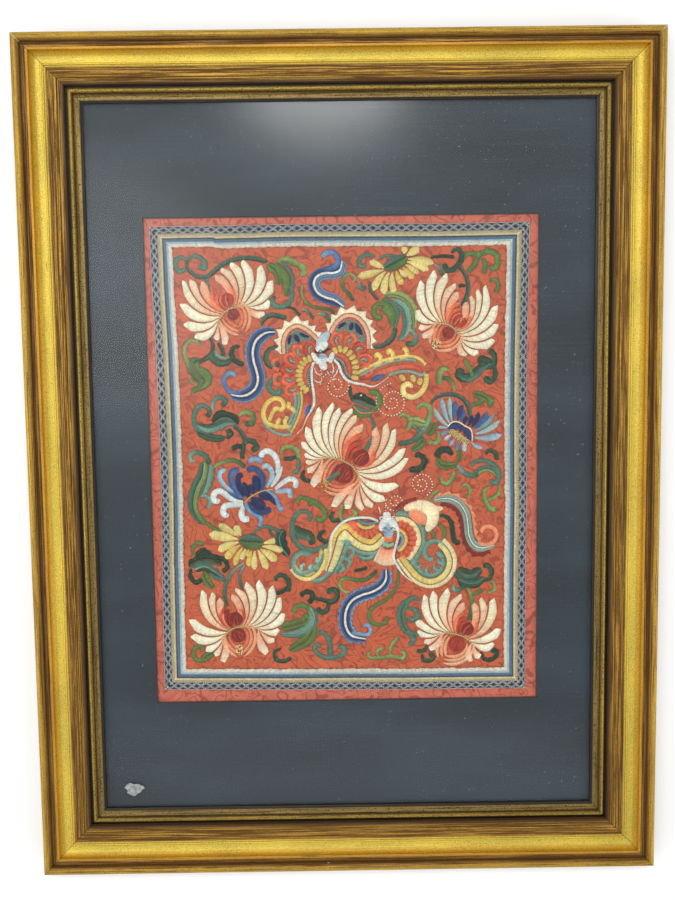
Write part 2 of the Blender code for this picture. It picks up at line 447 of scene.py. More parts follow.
@dataclass(frozen=True)
class Damask:
    """Red silk with tone-on-tone scrolls: darker lines that wander and curl.

    Attributes:
        ground: its colour.
        line: the colour of the scrolls.
        faded: the colour outside the sewn borders.
        contact_shade: the colour of the painted shade on the cloth close to the stitches.
        fresh: half the width and height of the part that isn't faded, in metres.
    """

    ground: tuple[float, float, float] = (187, 84, 44)
    line: tuple[float, float, float] = (108, 30, 16)
    faded: tuple[float, float, float] = (192, 95, 72)
    contact_shade: tuple[float, float, float] = (52, 20, 12)
    fresh: tuple[float, float] = (0.158, 0.202)

    def material(self, name: str) -> bpy.types.Material:
        """Build the node material."""
        graph = Graph(name)
        place = graph.coords("Object")
        edge = graph.node("VectorMath", {"operation": "ABSOLUTE"}, {0: place})
        edge = graph.node("VectorMath", {"operation": "SUBTRACT"}, {0: edge, 1: (*self.fresh, 0.0)})
        across = graph.node("SeparateXYZ", {}, {0: edge}, output=0)
        edge = graph.maths("MAXIMUM", across, across.node.outputs[1])
        rim = graph.limit(graph.maths("MULTIPLY", edge, 160.0))
        colour = graph.mix(rim, opaque(self.ground), opaque(self.faded))
        broad = graph.noise(place, 42.0, 1.0, 1.4)
        satin = graph.step(broad, (0.46, 0), (0.54, 1))
        colour = graph.mix(graph.maths("MULTIPLY", satin, 0.14), colour, opaque(self.line))
        where = graph.noise(place, 30.0, 2.0)
        for scale, levels, stops in ((50.0, 7.0, ((0.42, 0), (0.50, 1))),
                                     (78.0, 5.0, ((0.46, 1), (0.54, 0)))):
            rings = graph.maths("MULTIPLY", graph.noise(place, scale, 0.5, 1.0), levels)
            rings = graph.maths("SUBTRACT", graph.maths("FRACT", rings), 0.5)
            line = graph.step(graph.maths("ABSOLUTE", rings), (0.0, 1), (0.07, 1), (0.16, 0))
            line = graph.maths("MULTIPLY", line, graph.step(where, *stops))
            colour = graph.mix(graph.maths("MULTIPLY", line, 0.62), colour, opaque(self.line))
        weft = graph.grain(place, (500, 2600, 1), 2.0)
        warp = graph.grain(place, (2600, 300, 1), 2.0)
        weave = graph.maths("ADD", weft, warp)
        tone = graph.maths("MULTIPLY_ADD", weave, 0.62, 0.38)
        colour = graph.toned(colour, tone)
        # painted shade: the cloth turns to this dark colour where the ambient-occlusion node finds
        # stitches close by, round every shape and in the voids between petals
        near = graph.node("AmbientOcclusion", {"samples": 8}, {"Distance": 1.3 * MM}, output="AO")
        near = graph.step(near, (0.42, 1), (0.92, 0))
        colour = graph.mix(near, colour, opaque(self.contact_shade))
        graph.bump(weave, 0.45, 0.12 * MM)
        return graph.finish(Base_Color=colour, Roughness=0.55, Sheen_Weight=0.08,
                            Sheen_Roughness=0.35)


@dataclass(frozen=True)
class Floss:
    """Silk floss coloured by the stitches' thread attribute, with painted shade between them.

    Attributes:
        roughness: the shader's roughness.
        sheen: how strong its sheen is.
        shadow: the painted shade that its colour is multiplied by between the stitches.
    """

    roughness: float = 0.40
    sheen: float = 0.12
    shadow: tuple[float, float, float] = (0.22, 0.13, 0.09)

    def material(self, name: str) -> bpy.types.Material:
        """Build the node material."""
        graph = Graph(name)
        thread = graph.node("Attribute", {"attribute_name": "thread"}, {}, output="Color")
        place = graph.coords("Object")
        age = graph.noise(place, 60.0, 3.0)
        nap = graph.noise(place, 720.0, 2.0)
        tone = graph.maths("MULTIPLY_ADD", age, 0.22, 0.56)
        tone = graph.maths("ADD", tone, graph.maths("MULTIPLY", nap, 0.66))
        colour = graph.toned(thread, tone)
        # painted shade: where the ambient-occlusion node finds neighbouring stitches close by, the
        # colour is darkened by the shadow tint
        near = graph.node("AmbientOcclusion", {"samples": 6}, {"Distance": 0.7 * MM}, output="AO")
        near = graph.step(near, (0.15, 1), (0.66, 0))
        dark = graph.multiply(colour, (*self.shadow, 1.0))
        colour = graph.mix(graph.maths("MULTIPLY", near, 0.75), colour, dark)
        graph.bump(graph.noise(place, 3200.0, 2.0), 0.25, 0.06 * MM)
        return graph.finish(Base_Color=colour, Roughness=self.roughness,
                            Sheen_Weight=self.sheen, Sheen_Roughness=0.3)


@dataclass(frozen=True)
class Plain:
    """A plain board or paper with a fine grain.

    Attributes:
        colour, other: the two colours that it runs between.
        scale: the grain's scale along each axis.
        roughness: the shader's roughness.
    """

    colour: tuple[float, float, float]
    other: tuple[float, float, float]
    scale: tuple[float, float, float] = (20, 400, 20)
    roughness: float = 0.8

    def material(self, name: str) -> bpy.types.Material:
        """Build the node material."""
        graph = Graph(name)
        grain = graph.grain(graph.coords("Object"), self.scale, 4.0)
        colour = graph.ramp(grain, [(0.35, *linear(*self.colour)), (0.65, *linear(*self.other))])
        graph.bump(grain, 0.3, 0.2 * MM)
        return graph.finish(Base_Color=colour, Roughness=self.roughness)


@dataclass(frozen=True)
class Pane:
    """A thin pane: clear, mirroring a little on its upper face, with dust, and a painted glare: a
    pale diffuse layer that thickens towards the panel's top edge."""

    def material(self, name: str) -> bpy.types.Material:
        """Build the node material."""
        graph = Graph(name)
        graph.tree.nodes.remove(graph.shader)
        place = graph.coords("Object")
        dust = graph.noise(place, 520.0, 1.0)
        specks = graph.step(dust, (0.745, 0), (0.765, 1))
        outer = graph.maths("SUBTRACT", 1.0, graph.node("NewGeometry", {}, {}, output="Backfacing"))
        rise = graph.node("SeparateXYZ", {}, {0: place}, output=1)
        # painted glare: a pale diffuse layer, thicker towards the panel's top edge, stands in for
        # light reflected off the glass there; the same layer also carries the dust specks
        painted_glare = graph.limit(graph.maths("MULTIPLY_ADD", rise, 0.030, 0.004))
        share = graph.maths("MULTIPLY_ADD", specks, 0.16, painted_glare)
        clear = graph.node("BsdfTransparent", {}, {"Color": (0.99, 0.997, 0.995, 1.0)})
        dust_and_glare_film = graph.node("BsdfDiffuse", {}, {"Color": (0.80, 0.88, 0.86, 1.0)})
        mirror = graph.node("BsdfGlossy", {}, {"Roughness": 0.16})
        share = graph.maths("MULTIPLY", share, outer)
        body = graph.node("MixShader", {}, {0: share, 1: clear, 2: dust_and_glare_film})
        facing = graph.maths("MULTIPLY", graph.node("Fresnel", {}, {"IOR": 1.26}), outer)
        shown = graph.node("MixShader", {}, {0: facing, 1: body, 2: mirror})
        graph.put(graph.output.inputs["Surface"], shown)
        return graph.material


# ---------------------------------------------------------------- lines to stitch along


class Path:
    """A smooth line in the panel's plane, in millimetres, read by its share of length."""

    def __init__(self, points: np.ndarray) -> None:
        """Keep a dense run of points."""
        self.points = np.asarray(points, float)
        steps = np.linalg.norm(np.diff(self.points, axis=0), axis=1)
        self.lengths = np.concatenate([[0.0], np.cumsum(steps)])

    @property
    def length(self) -> float:
        """Its whole length."""
        return float(self.lengths[-1])

    @classmethod
    def through(cls, *points: tuple[float, float]) -> "Path":
        """A Catmull-Rom line through a few points."""
        knots = np.array(points, float)
        knots = np.vstack([2 * knots[0] - knots[1], knots, 2 * knots[-1] - knots[-2]])
        t = np.linspace(0, 1, 14, endpoint=False)[:, None]
        runs = []
        for a, b, c, d in zip(knots, knots[1:], knots[2:], knots[3:]):
            runs.append(0.5 * (2 * b + (c - a) * t + (2 * a - 5 * b + 4 * c - d) * t**2
                               + (3 * b - a - 3 * c + d) * t**3))
        return cls(np.vstack([*runs, knots[-2]]))

    def read(self, where: np.ndarray) -> np.ndarray:
        """Points at distances along it."""
        return np.column_stack([np.interp(where, self.lengths, row) for row in self.points.T])

    def at(self, share) -> np.ndarray:
        """Points at shares of its length; shares past the ends run on straight."""
        share = np.atleast_1d(np.asarray(share, float))
        found = self.read(np.clip(share, 0, 1) * self.length)
        over = (share - np.clip(share, 0, 1)) * self.length
        return found + self.tangent(share) * over[:, None]

    def tangent(self, share) -> np.ndarray:
        """Unit directions at shares of its length."""
        where = np.clip(np.atleast_1d(np.asarray(share, float)), 0, 1) * self.length
        reach = max(self.length * 0.01, 0.3)
        behind, ahead = (self.read(np.clip(where + shift, 0,
                                           self.length)) for shift in (-reach, reach))
        step = ahead - behind
        return step / np.maximum(np.linalg.norm(step, axis=1, keepdims=True), 1e-9)

    def beside(self, share, offset: Offset) -> np.ndarray:
        """Points off to the left of it (to the right, if the offset is negative)."""
        share = np.atleast_1d(np.asarray(share, float))
        tangent = self.tangent(share)
        normal = np.column_stack([-tangent[:, 1], tangent[:, 0]])
        return self.at(share) + normal * widths(offset, share)[:, None]

    def part(self, start: float, end: float) -> "Path":
        """A stretch of it."""
        return Path(self.at(np.linspace(start, end, max(8, int(abs(end - start) * self.length)))))


def swell(width: float, peak: float = 0.5, fullness: float = 1.0, foot: float = 0.0) -> Callable:
    """A width that grows from nothing to a peak and back, as a function of share.

    Args:
        width: the greatest width.
        peak: where that is, from 0 to 1.
        fullness: under 1 for blunt ends, over 1 for thin ones.
        foot: the width kept at the start.
    """
    def profile(share: np.ndarray) -> np.ndarray:
        t = np.clip(share, 1e-4, 1 - 1e-4)
        rise = (t / peak) ** (peak * fullness * 2)
        fall = ((1 - t) / (1 - peak)) ** ((1 - peak) * fullness * 2)
        return foot * (1 - t) ** 2 + (width - foot * (1 - peak) ** 2) * (rise * fall)
    return profile


def widths(offset: Offset, share: np.ndarray) -> np.ndarray:
    """What an offset comes to at each share."""
    if callable(offset):
        return offset(share)
    return np.broadcast_to(np.asarray(offset, float), np.shape(share))


def dome(height: float) -> Callable:
    """Half an ellipse, as a function of share."""
    return lambda share: height * np.sqrt(np.clip(1 - (2 * share - 1) ** 2, 0.02, 1))


def dwindling(width: float, over: float, least: float) -> Callable:
    """A width that holds and then shrinks.

    Args:
        width: the width at the start.
        over: the last share of the length, over which it shrinks.
        least: the width at the end, as a share.
    """
    return lambda share: width * np.clip((1 - share) / over, least, 1)


def scaled(offset: Offset, factor: float) -> Callable:
    """An offset made larger or smaller, or moved to the other side."""
    return lambda share: widths(offset, share) * factor


def scallops(offset: Offset, count: float, depth: float, lean: float = 0.0) -> Callable:
    """An offset with rounded bites; lean above 0 hooks each bite over towards the end."""
    def result(share: np.ndarray) -> np.ndarray:
        phase = ((np.asarray(share) * count) % 1.0) ** (1.0 + lean)
        return widths(offset, share) + depth * (np.sin(np.pi * phase) - 0.5)
    return result


def teeth(offset: Offset, count: float, depth: float, power: float = 1.4) -> Callable:
    """An offset with flame-like points, each steep on its far side."""
    def result(share: np.ndarray) -> np.ndarray:
        phase = (np.asarray(share) * count) % 1.0
        rise = np.where(phase < 0.72, (phase / 0.72) ** power, (1 - phase) / 0.28)
        return widths(offset, share) + depth * rise
    return result


# ---------------------------------------------------------------- stitches


def dye(tint: Tint, share: np.ndarray) -> np.ndarray:
    """Linear colours along a run of threads, blended between neighbours."""
    if isinstance(tint, Thread):
        return np.repeat(tint.colour[None, :], len(share), axis=0)
    shades = np.array([thread.colour for thread in tint])
    stops = np.linspace(0, 1, len(shades))
    return np.column_stack([np.interp(share, stops, shades[:, channel]) for channel in range(3)])


@dataclass
class Spot:
    """Where a motif sits: its centre, the turn of its own x axis in degrees, and its size."""

    x: float = 0.0
    y: float = 0.0
    turn: float = 0.0
    size: float = 1.0

    def place(self, points: np.ndarray) -> np.ndarray:
        """A motif's own points, in the panel's plane."""
        points = np.asarray(points, float) * self.size
        angle = math.radians(self.turn)
        cos, sin = math.cos(angle), math.sin(angle)
        return points @ np.array([[cos, sin], [-sin, cos]]) + (self.x, self.y)


class Needlework:
    """Stitches and knots of one piece, gathered and then made into one mesh.

    A stitch is one closed, rounded bar that leaves the cloth, arches over and goes back in.

    Attributes:
        STATIONS: where the bar's corners lie along it, as shares of its length.
        ARCH: how high it has risen at each, as a share of its lift.
        STRAY: how far its ends may stray along it.
        SHADES, KNOT_SHADES: how much threads differ in tone, as a share.
        OVERLAP: its width, in gaps between neighbours.
        NARROWEST, WIDEST: the limits of that width.
        ROUND: how far its back stands out, in widths.
        KNOT_PITCH: how far apart the knots of a filling are.
    """

    STATIONS = np.array([0.0, 0.12, 0.5, 0.88, 1.0])
    ARCH = np.array([0.0, 0.74, 1.0, 0.74, 0.0])
    STRAY = 0.12
    SHADES, KNOT_SHADES = 0.09, 0.07
    OVERLAP = 1.22
    NARROWEST, WIDEST = 0.34, 1.05
    ROUND = 0.40
    KNOT_PITCH = 1.4

    def __init__(self, seed: int, base: float = CLOTH_TOP) -> None:
        """Start an empty piece.

        Args:
            seed: fixes how its threads vary.
            base: the height of the cloth or tape that it is worked on.
        """
        self.random = np.random.default_rng(seed)
        self.base = base
        self.spot = Spot()
        self.stitches: list[np.ndarray] = []
        self.knots: list[np.ndarray] = []
        self.tapes: list[tuple] = []

    def at(self, x: float, y: float) -> None:
        """Move the frame that the next stitches are given in."""
        self.spot = Spot(x, y)

    def lay(self, near, far, width, near_dye, far_dye, bed: float, lift: float) -> None:
        """Add stitches from near to far points.

        Args:
            near, far: their ends, one row each.
            width: how wide each is.
            near_dye, far_dye: linear colours of the two ends.
            bed: how far over the cloth they start.
            lift: how high the middle of each rises.
        """
        near, far = self.spot.place(near), self.spot.place(far)
        count = len(near)
        run = far - near
        span = np.linalg.norm(run, axis=1)
        run = run / np.maximum(span, 1e-6)[:, None]
        jitter = self.random.uniform(-self.STRAY, self.STRAY, (2, count, 1))
        near, far = near + run * jitter[0], far + run * jitter[1]
        tone = self.random.normal(1.0, self.SHADES, (count, 1))
        height = lift * np.clip(0.45 + span / 9.0, 0.5, 1.15)
        height = height + self.random.uniform(-0.03, 0.03, count)
        self.stitches.append(np.column_stack([
            near, far, np.broadcast_to(width, (count,)) * self.spot.size, np.full(count, bed),
            height,
            near_dye * tone, far_dye * tone]))

    def satin(self, near: Callable, far: Callable, tints: tuple[Tint, Tint], pitch: float = 0.72,
              slant: float = 0.0, bed: float = 0.0, lift: float = 0.66, fray: float = 0.0) -> None:
        """Fill the strip between two edges with stitches laid side by side.

        Args:
            near, far: each edge's points, as a function of share.
            tints: the threads along the near and the far edge.
            pitch: the distance between neighbours on the longer edge.
            slant: how much further along the far ends lie, as a share.
            bed, lift: as for lay.
            fray: how unevenly the far ends stop, in millimetres.
        """
        # even spacing, measured on whichever edge is the longer at each place
        fine = np.linspace(0, 1, 200)
        first, second = near(fine), far(np.clip(fine + slant, 0, 1))
        steps = [np.linalg.norm(np.diff(edge, axis=0), axis=1) for edge in (first, second)]
        spacing = np.maximum(steps[0], steps[1])
        travelled = np.concatenate([[0.0], np.cumsum(spacing)])
        count = max(2, round(travelled[-1] * self.spot.size / pitch))
        wanted = (np.arange(count) + 0.5) / count * travelled[-1]
        share = np.interp(wanted, travelled, fine)
        ends = near(share), far(np.clip(share + slant, 0, 1))
        run = ends[1] - ends[0]
        size = np.linalg.norm(run, axis=1, keepdims=True)
        unit = run / np.maximum(size, 1e-6)
        if fray:
            ends = ends[0], ends[1] + unit * self.random.uniform(-fray, fray, (count, 1))
        # each stitch is as wide as the gap between its neighbours, and a little more
        normal = np.column_stack([-unit[:, 1], unit[:, 0]])
        moves = [np.gradient(end, axis=0) if count > 2 else np.tile(end[1] - end[0],
                                                                    (2, 1)) for end in ends]
        gap = np.max([np.abs((move * normal).sum(1)) for move in moves], axis=0)
        width = np.clip(gap * self.OVERLAP, self.NARROWEST, self.WIDEST / self.spot.size)
        keep = size[:, 0] > 0.25
        rows = (*ends, width, dye(tints[0], share), dye(tints[1], share))
        self.lay(*(row[keep] for row in rows), bed, lift)

    def band(self, path: Path, near: Offset, far: Offset, tints, **options) -> None:
        """Satin between two offsets of a path. The tints are a thread for both edges, or the near
        edge's tint and the far edge's."""
        pair = tints if isinstance(tints, tuple) else (tints, tints)
        self.satin(lambda t: path.beside(t, near), lambda t: path.beside(t, far), pair, **options)

    def cover(self, path: Path, half: Offset, tints, **options) -> None:
        """Satin across a path, reaching as far to its left as to its right."""
        self.band(path, half, scaled(half, -1), tints, **options)

    def rows(self, path: Path, edges: Sequence[Offset], tints: Sequence[Tint], **options) -> None:
        """Bands side by side between successive offsets of a path, one tint each."""
        for near, far, tint in zip(edges, edges[1:], tints):
            self.band(path, near, far, tint, **options)

    def stem(self, path: Path, tint: Tint, width: float = 0.9, reach: float = 3.2,
             bed: float = 0.1) -> None:
        """A rope-like line of overlapping stitches, each of one reach, along a path."""
        size = self.spot.size
        count = max(2, int(path.length * size / (reach * 0.5)))
        start = np.linspace(0, 1, count, endpoint=False)
        end = np.minimum(start + reach / max(path.length * size, 1e-6), 1.0)
        near, far = path.beside(start, -width * 0.22), path.beside(end, width * 0.22)
        self.lay(near, far, width / size, dye(tint, start), dye(tint, end), bed, lift=0.3)

    def beads(self, points: np.ndarray, tint: Tint, radius: float = 0.5, bed: float = 0.05) -> None:
        """Seed knots at points, with the tints spread along them."""
        points = self.spot.place(points)
        count = len(points)
        share = np.linspace(0, 1, count) if count > 1 else np.zeros(1)
        colour = dye(tint, share) * self.random.normal(1.0, self.KNOT_SHADES, (count, 1))
        radii = radius * self.spot.size * self.random.uniform(0.88, 1.12, count)
        self.knots.append(np.column_stack([points, radii, np.full(count, bed), colour]))

    def dotted(self, path: Path, tint: Tint, pitch: float = 2.1, radius: float = 0.62,
               bed: float = 0.05) -> None:
        """A line of knots along a path."""
        count = max(2, int(path.length / pitch))
        self.beads(path.at(np.linspace(0, 1, count)), tint, radius, bed)

    def seeded(self, near: Callable, far: Callable, tint: Tint, bed: float = 0.05) -> None:
        """Fill the strip between two edges with rows of knots."""
        pitch = self.KNOT_PITCH
        fine = np.linspace(0, 1, 60)
        along = np.linalg.norm(np.diff((near(fine) + far(fine)) / 2, axis=0), axis=1).sum()
        rows = max(2, int(along / pitch))
        share = (np.arange(rows) + 0.5) / rows
        for number, (a, b) in enumerate(zip(near(share), far(share))):
            gap = float(np.linalg.norm(b - a))
            count = int(gap / pitch)
            if count < 1:
                continue
            steps = (np.arange(count) + 0.5 + (0.25 if number % 2 else -0.25)) / count
            points = a + (b - a) * np.clip(steps, 0.08, 0.94)[:, None]
            points = points + self.random.uniform(-self.STRAY, self.STRAY, points.shape)
            self.beads(points, tint, pitch / 2, bed)

    def tape(self, near: np.ndarray, far: np.ndarray, low: float, high: float,
             tint: Thread) -> None:
        """Add a flat tape between two rows of points."""
        count = len(near)
        corners = np.zeros((1, count * 4, 3))
        for slot, (row, height) in enumerate(((near, low), (far, low), (far, high), (near, high))):
            corners[0, slot::4, :2] = row
            corners[0, slot::4, 2] = height
        pattern = []
        for a in range(0, (count - 1) * 4, 4):
            b, c, d = a + 1, a + 2, a + 3
            pattern += [(a, b, b + 4, a + 4), (d, d + 4, c + 4, c), (a, a + 4, d + 4, d),
                        (b, c, c + 4, b + 4)]
        end = (count - 1) * 4
        pattern += [(0, 3, 2, 1), (end, end + 1, end + 2, end + 3)]
        self.tapes.append((corners, pattern, np.tile(tint.colour, (1, count * 4, 1))))

    def stitch_mesh(self) -> tuple:
        """Corners, faces and colours of every stitch."""
        data = np.vstack(self.stitches)
        near, far, (width, bed, height) = data[:, 0:2], data[:, 2:4], data[:, 4:7].T
        count = len(data)
        run = far - near
        unit = run / np.maximum(np.linalg.norm(run, axis=1), 1e-6)[:, None]
        normal = np.column_stack([-unit[:, 1], unit[:, 0]]) * (width / 2)[:, None]
        base = self.base + bed
        corners = np.zeros((count, 11, 3))
        share = np.zeros(11)
        for index, (station, arch) in enumerate(zip(self.STATIONS, self.ARCH)):
            centre = near + run * station
            if index in (0, 4):
                row = 0 if index == 0 else 10
                corners[:, row, :2] = centre
                corners[:, row, 2] = base - 0.05
                share[row] = station
                continue
            row = 1 + (index - 1) * 3
            narrow = 0.92 if index != 2 else 1.0
            for slot, side in ((0, 1.0), (1, 0.0), (2, -1.0)):
                corners[:, row + slot, :2] = centre + normal * side * narrow
                rise = height * arch + (self.ROUND * width if side == 0.0 else 0.0)
                corners[:, row + slot, 2] = base + rise
                share[row + slot] = station
        pattern = [(0, 2, 1), (0, 3, 2), (0, 1, 3)]
        for first in (1, 4):
            left, top, right = first, first + 1, first + 2
            pattern += [(left, top, top + 3, left + 3), (top, right, right + 3, top + 3),
                        (right, left, left + 3, right + 3)]
        pattern += [(7, 8, 10), (8, 9, 10), (9, 7, 10)]
        share = share[None, :, None]
        colour = data[:, None, 7:10] * (1 - share) + data[:, None, 10:13] * share
        return corners, pattern, colour

    def knot_mesh(self) -> tuple:
        """Corners, faces and colours of every knot."""
        data = np.vstack(self.knots)
        centre, radius, bed = data[:, 0:2], data[:, 2], data[:, 3]
        corners = np.zeros((len(data), 8, 3))
        for index in range(6):
            angle = math.radians(60 * index + 17)
            corners[:, index, 0] = centre[:, 0] + radius * math.cos(angle)
            corners[:, index, 1] = centre[:, 1] + radius * math.sin(angle)
            corners[:, index, 2] = self.base + bed + radius * 0.45
        corners[:, 6, :2] = centre
        corners[:, 6, 2] = self.base + bed + radius * 1.15
        corners[:, 7, :2] = centre
        corners[:, 7, 2] = self.base + bed - 0.1
        pattern = [(i, (i + 1) % 6, 6) for i in range(6)] + [((i + 1) % 6, i, 7) for i in range(6)]
        colour = np.repeat(data[:, None, 4:7], 8, axis=1)
        return corners, pattern, colour

    def piece(self, name: str, material: bpy.types.Material, slot: str) -> bpy.types.Object:
        """Make one object of all the stitches and knots."""
        groups = list(self.tapes)
        groups += [self.stitch_mesh()] if self.stitches else []
        groups += [self.knot_mesh()] if self.knots else []
        verts, loops, sizes, colours, first = [], [], [], [], 0
        for corners, pattern, colour in groups:
            count, per = corners.shape[:2]
            flat = np.array([index for face in pattern for index in face])
            starts = first + per * np.arange(count)[:, None]
            loops.append((starts + flat[None, :]).ravel())
            sizes.append(np.tile([len(face) for face in pattern], count))
            verts.append(corners.reshape(-1, 3))
            colours.append(np.clip(colour, 0, 1).reshape(-1, 3))
            first += count * per
        verts, loops, sizes = np.vstack(verts) * MM, np.concatenate(loops), np.concatenate(sizes)
        mesh = bpy.data.meshes.new(name)
        mesh.vertices.add(len(verts))
        mesh.vertices.foreach_set("co", verts.ravel().astype(np.float32))
        mesh.loops.add(len(loops))
        mesh.loops.foreach_set("vertex_index", loops.astype(np.int32))
        mesh.polygons.add(len(sizes))
        mesh.polygons.foreach_set("loop_start", (np.cumsum(sizes) - sizes).astype(np.int32))
        mesh.update(calc_edges=True)
        layer = mesh.color_attributes.new("thread", "FLOAT_COLOR", "POINT")
        rgba = np.column_stack([np.vstack(colours), np.ones(len(verts))])
        layer.data.foreach_set("color", rgba.ravel().astype(np.float32))
        mesh.shade_smooth()
        mesh.validate()
        item = bpy.data.objects.new(name, mesh)
        bpy.context.scene.collection.objects.link(item)
        wear(item, material)
        return item


# ---------------------------------------------------------------- motifs


def ray(angle: float, length: float = 1.0) -> np.ndarray:
    """A step in a direction given in degrees."""
    return length * np.array([math.cos(math.radians(angle)), math.sin(math.radians(angle))])


def leaning(foot: np.ndarray, tip: np.ndarray, lead: float) -> Path:
    """A curve from foot to tip that sets off to one side of the straight line.

    Args:
        foot, tip: its ends.
        lead: how far to the left of the straight line it sets off, in degrees.
    """
    run = tip - foot
    heading = math.degrees(math.atan2(run[1], run[0])) + lead
    control = foot + ray(heading, 0.55 * float(np.linalg.norm(run)))
    t = np.linspace(0, 1, 40)[:, None]
    return Path((1 - t) ** 2 * foot + 2 * t * (1 - t) * control + t**2 * tip)


def blade(width: float, peak: float = 0.62, cut: float = 0.86, foot: float = 0.6) -> Callable:
    """The half-width of a petal that swells slowly and is cut off short at its tip."""
    def profile(share: np.ndarray) -> np.ndarray:
        t = np.clip(share, 0, 1)
        grown = foot + (width - foot) * np.sin(0.5 * np.pi * np.clip(t / peak, 0, 1)) ** 1.25
        ended = np.clip((1 - t) / (1 - cut), 0, 1) ** 0.8
        return grown * ended
    return profile


def patch(work: Needlework, start: Sequence[float], end: Sequence[float], half: Offset, tint: Tint,
          lead: float = 0.0, **options) -> None:
    """A petal-like patch between two points.

    Args:
        work: where the stitches go.
        start, end: its ends.
        half: its half-width.
        tint: its threads.
        lead: how far to the left it sets off, in degrees.
        options: as for Needlework.satin.
    """
    line = leaning(np.array(start, float), np.array(end, float), lead)
    work.cover(line, half, tint, **options)


def oval(work: Needlework, axis: Path, height: float, upper: tuple, lower: tuple,
         split: tuple[float, float] = (0.3, -0.3), **options) -> None:
    """A round patch worked in two halves.

    Args:
        work: where the stitches go.
        axis: the line that the halves meet on.
        height: how far each half stands out from it.
        upper, lower: the tints of each half, the left one first.
        split: where the halves' inner edges are.
        options: as for Needlework.satin.
    """
    work.band(axis, dome(height), split[0], upper, **options)
    work.band(axis, split[1], scaled(dome(height), -1), lower, **options)


def voided_fan(work: Needlework, lines: Sequence[Path], width: float, tints: Sequence[Tint],
               inner: float, gap: float = 0.25) -> None:
    """Petals side by side, each stopping just short of its neighbours.

    Args:
        work: where the stitches go.
        lines: the centre line of each petal, in order.
        width: the greatest half-width.
        tints: each petal's threads, from foot to tip.
        inner: which side the cut tip falls to: 1 left, -1 right.
        gap: the ground left between neighbours.
    """
    share = np.linspace(0, 1, 40)
    places = [line.at(share) for line in lines]
    for number, (line, tint) in enumerate(zip(lines, tints)):
        # each side is a blade, or half the way to the neighbour where that is nearer
        halves = {}
        for side, other in ((inner, number - 1), (-inner, number + 1)):
            cut = 0.90 if side == inner else 0.74
            half = blade(width, peak=0.5, cut=cut)(share)
            if 0 <= other < len(lines):
                apart = np.linalg.norm(places[number][:, None] - places[other], axis=2).min(axis=1)
                half = np.minimum(half, np.maximum((apart - gap) / 2, 0.28))
            halves[side] = half
        work.band(line, lambda t: np.interp(t, share, halves[1.0]),
                  lambda t: -np.interp(t, share, halves[-1.0]), (tint, tint), slant=0.05)


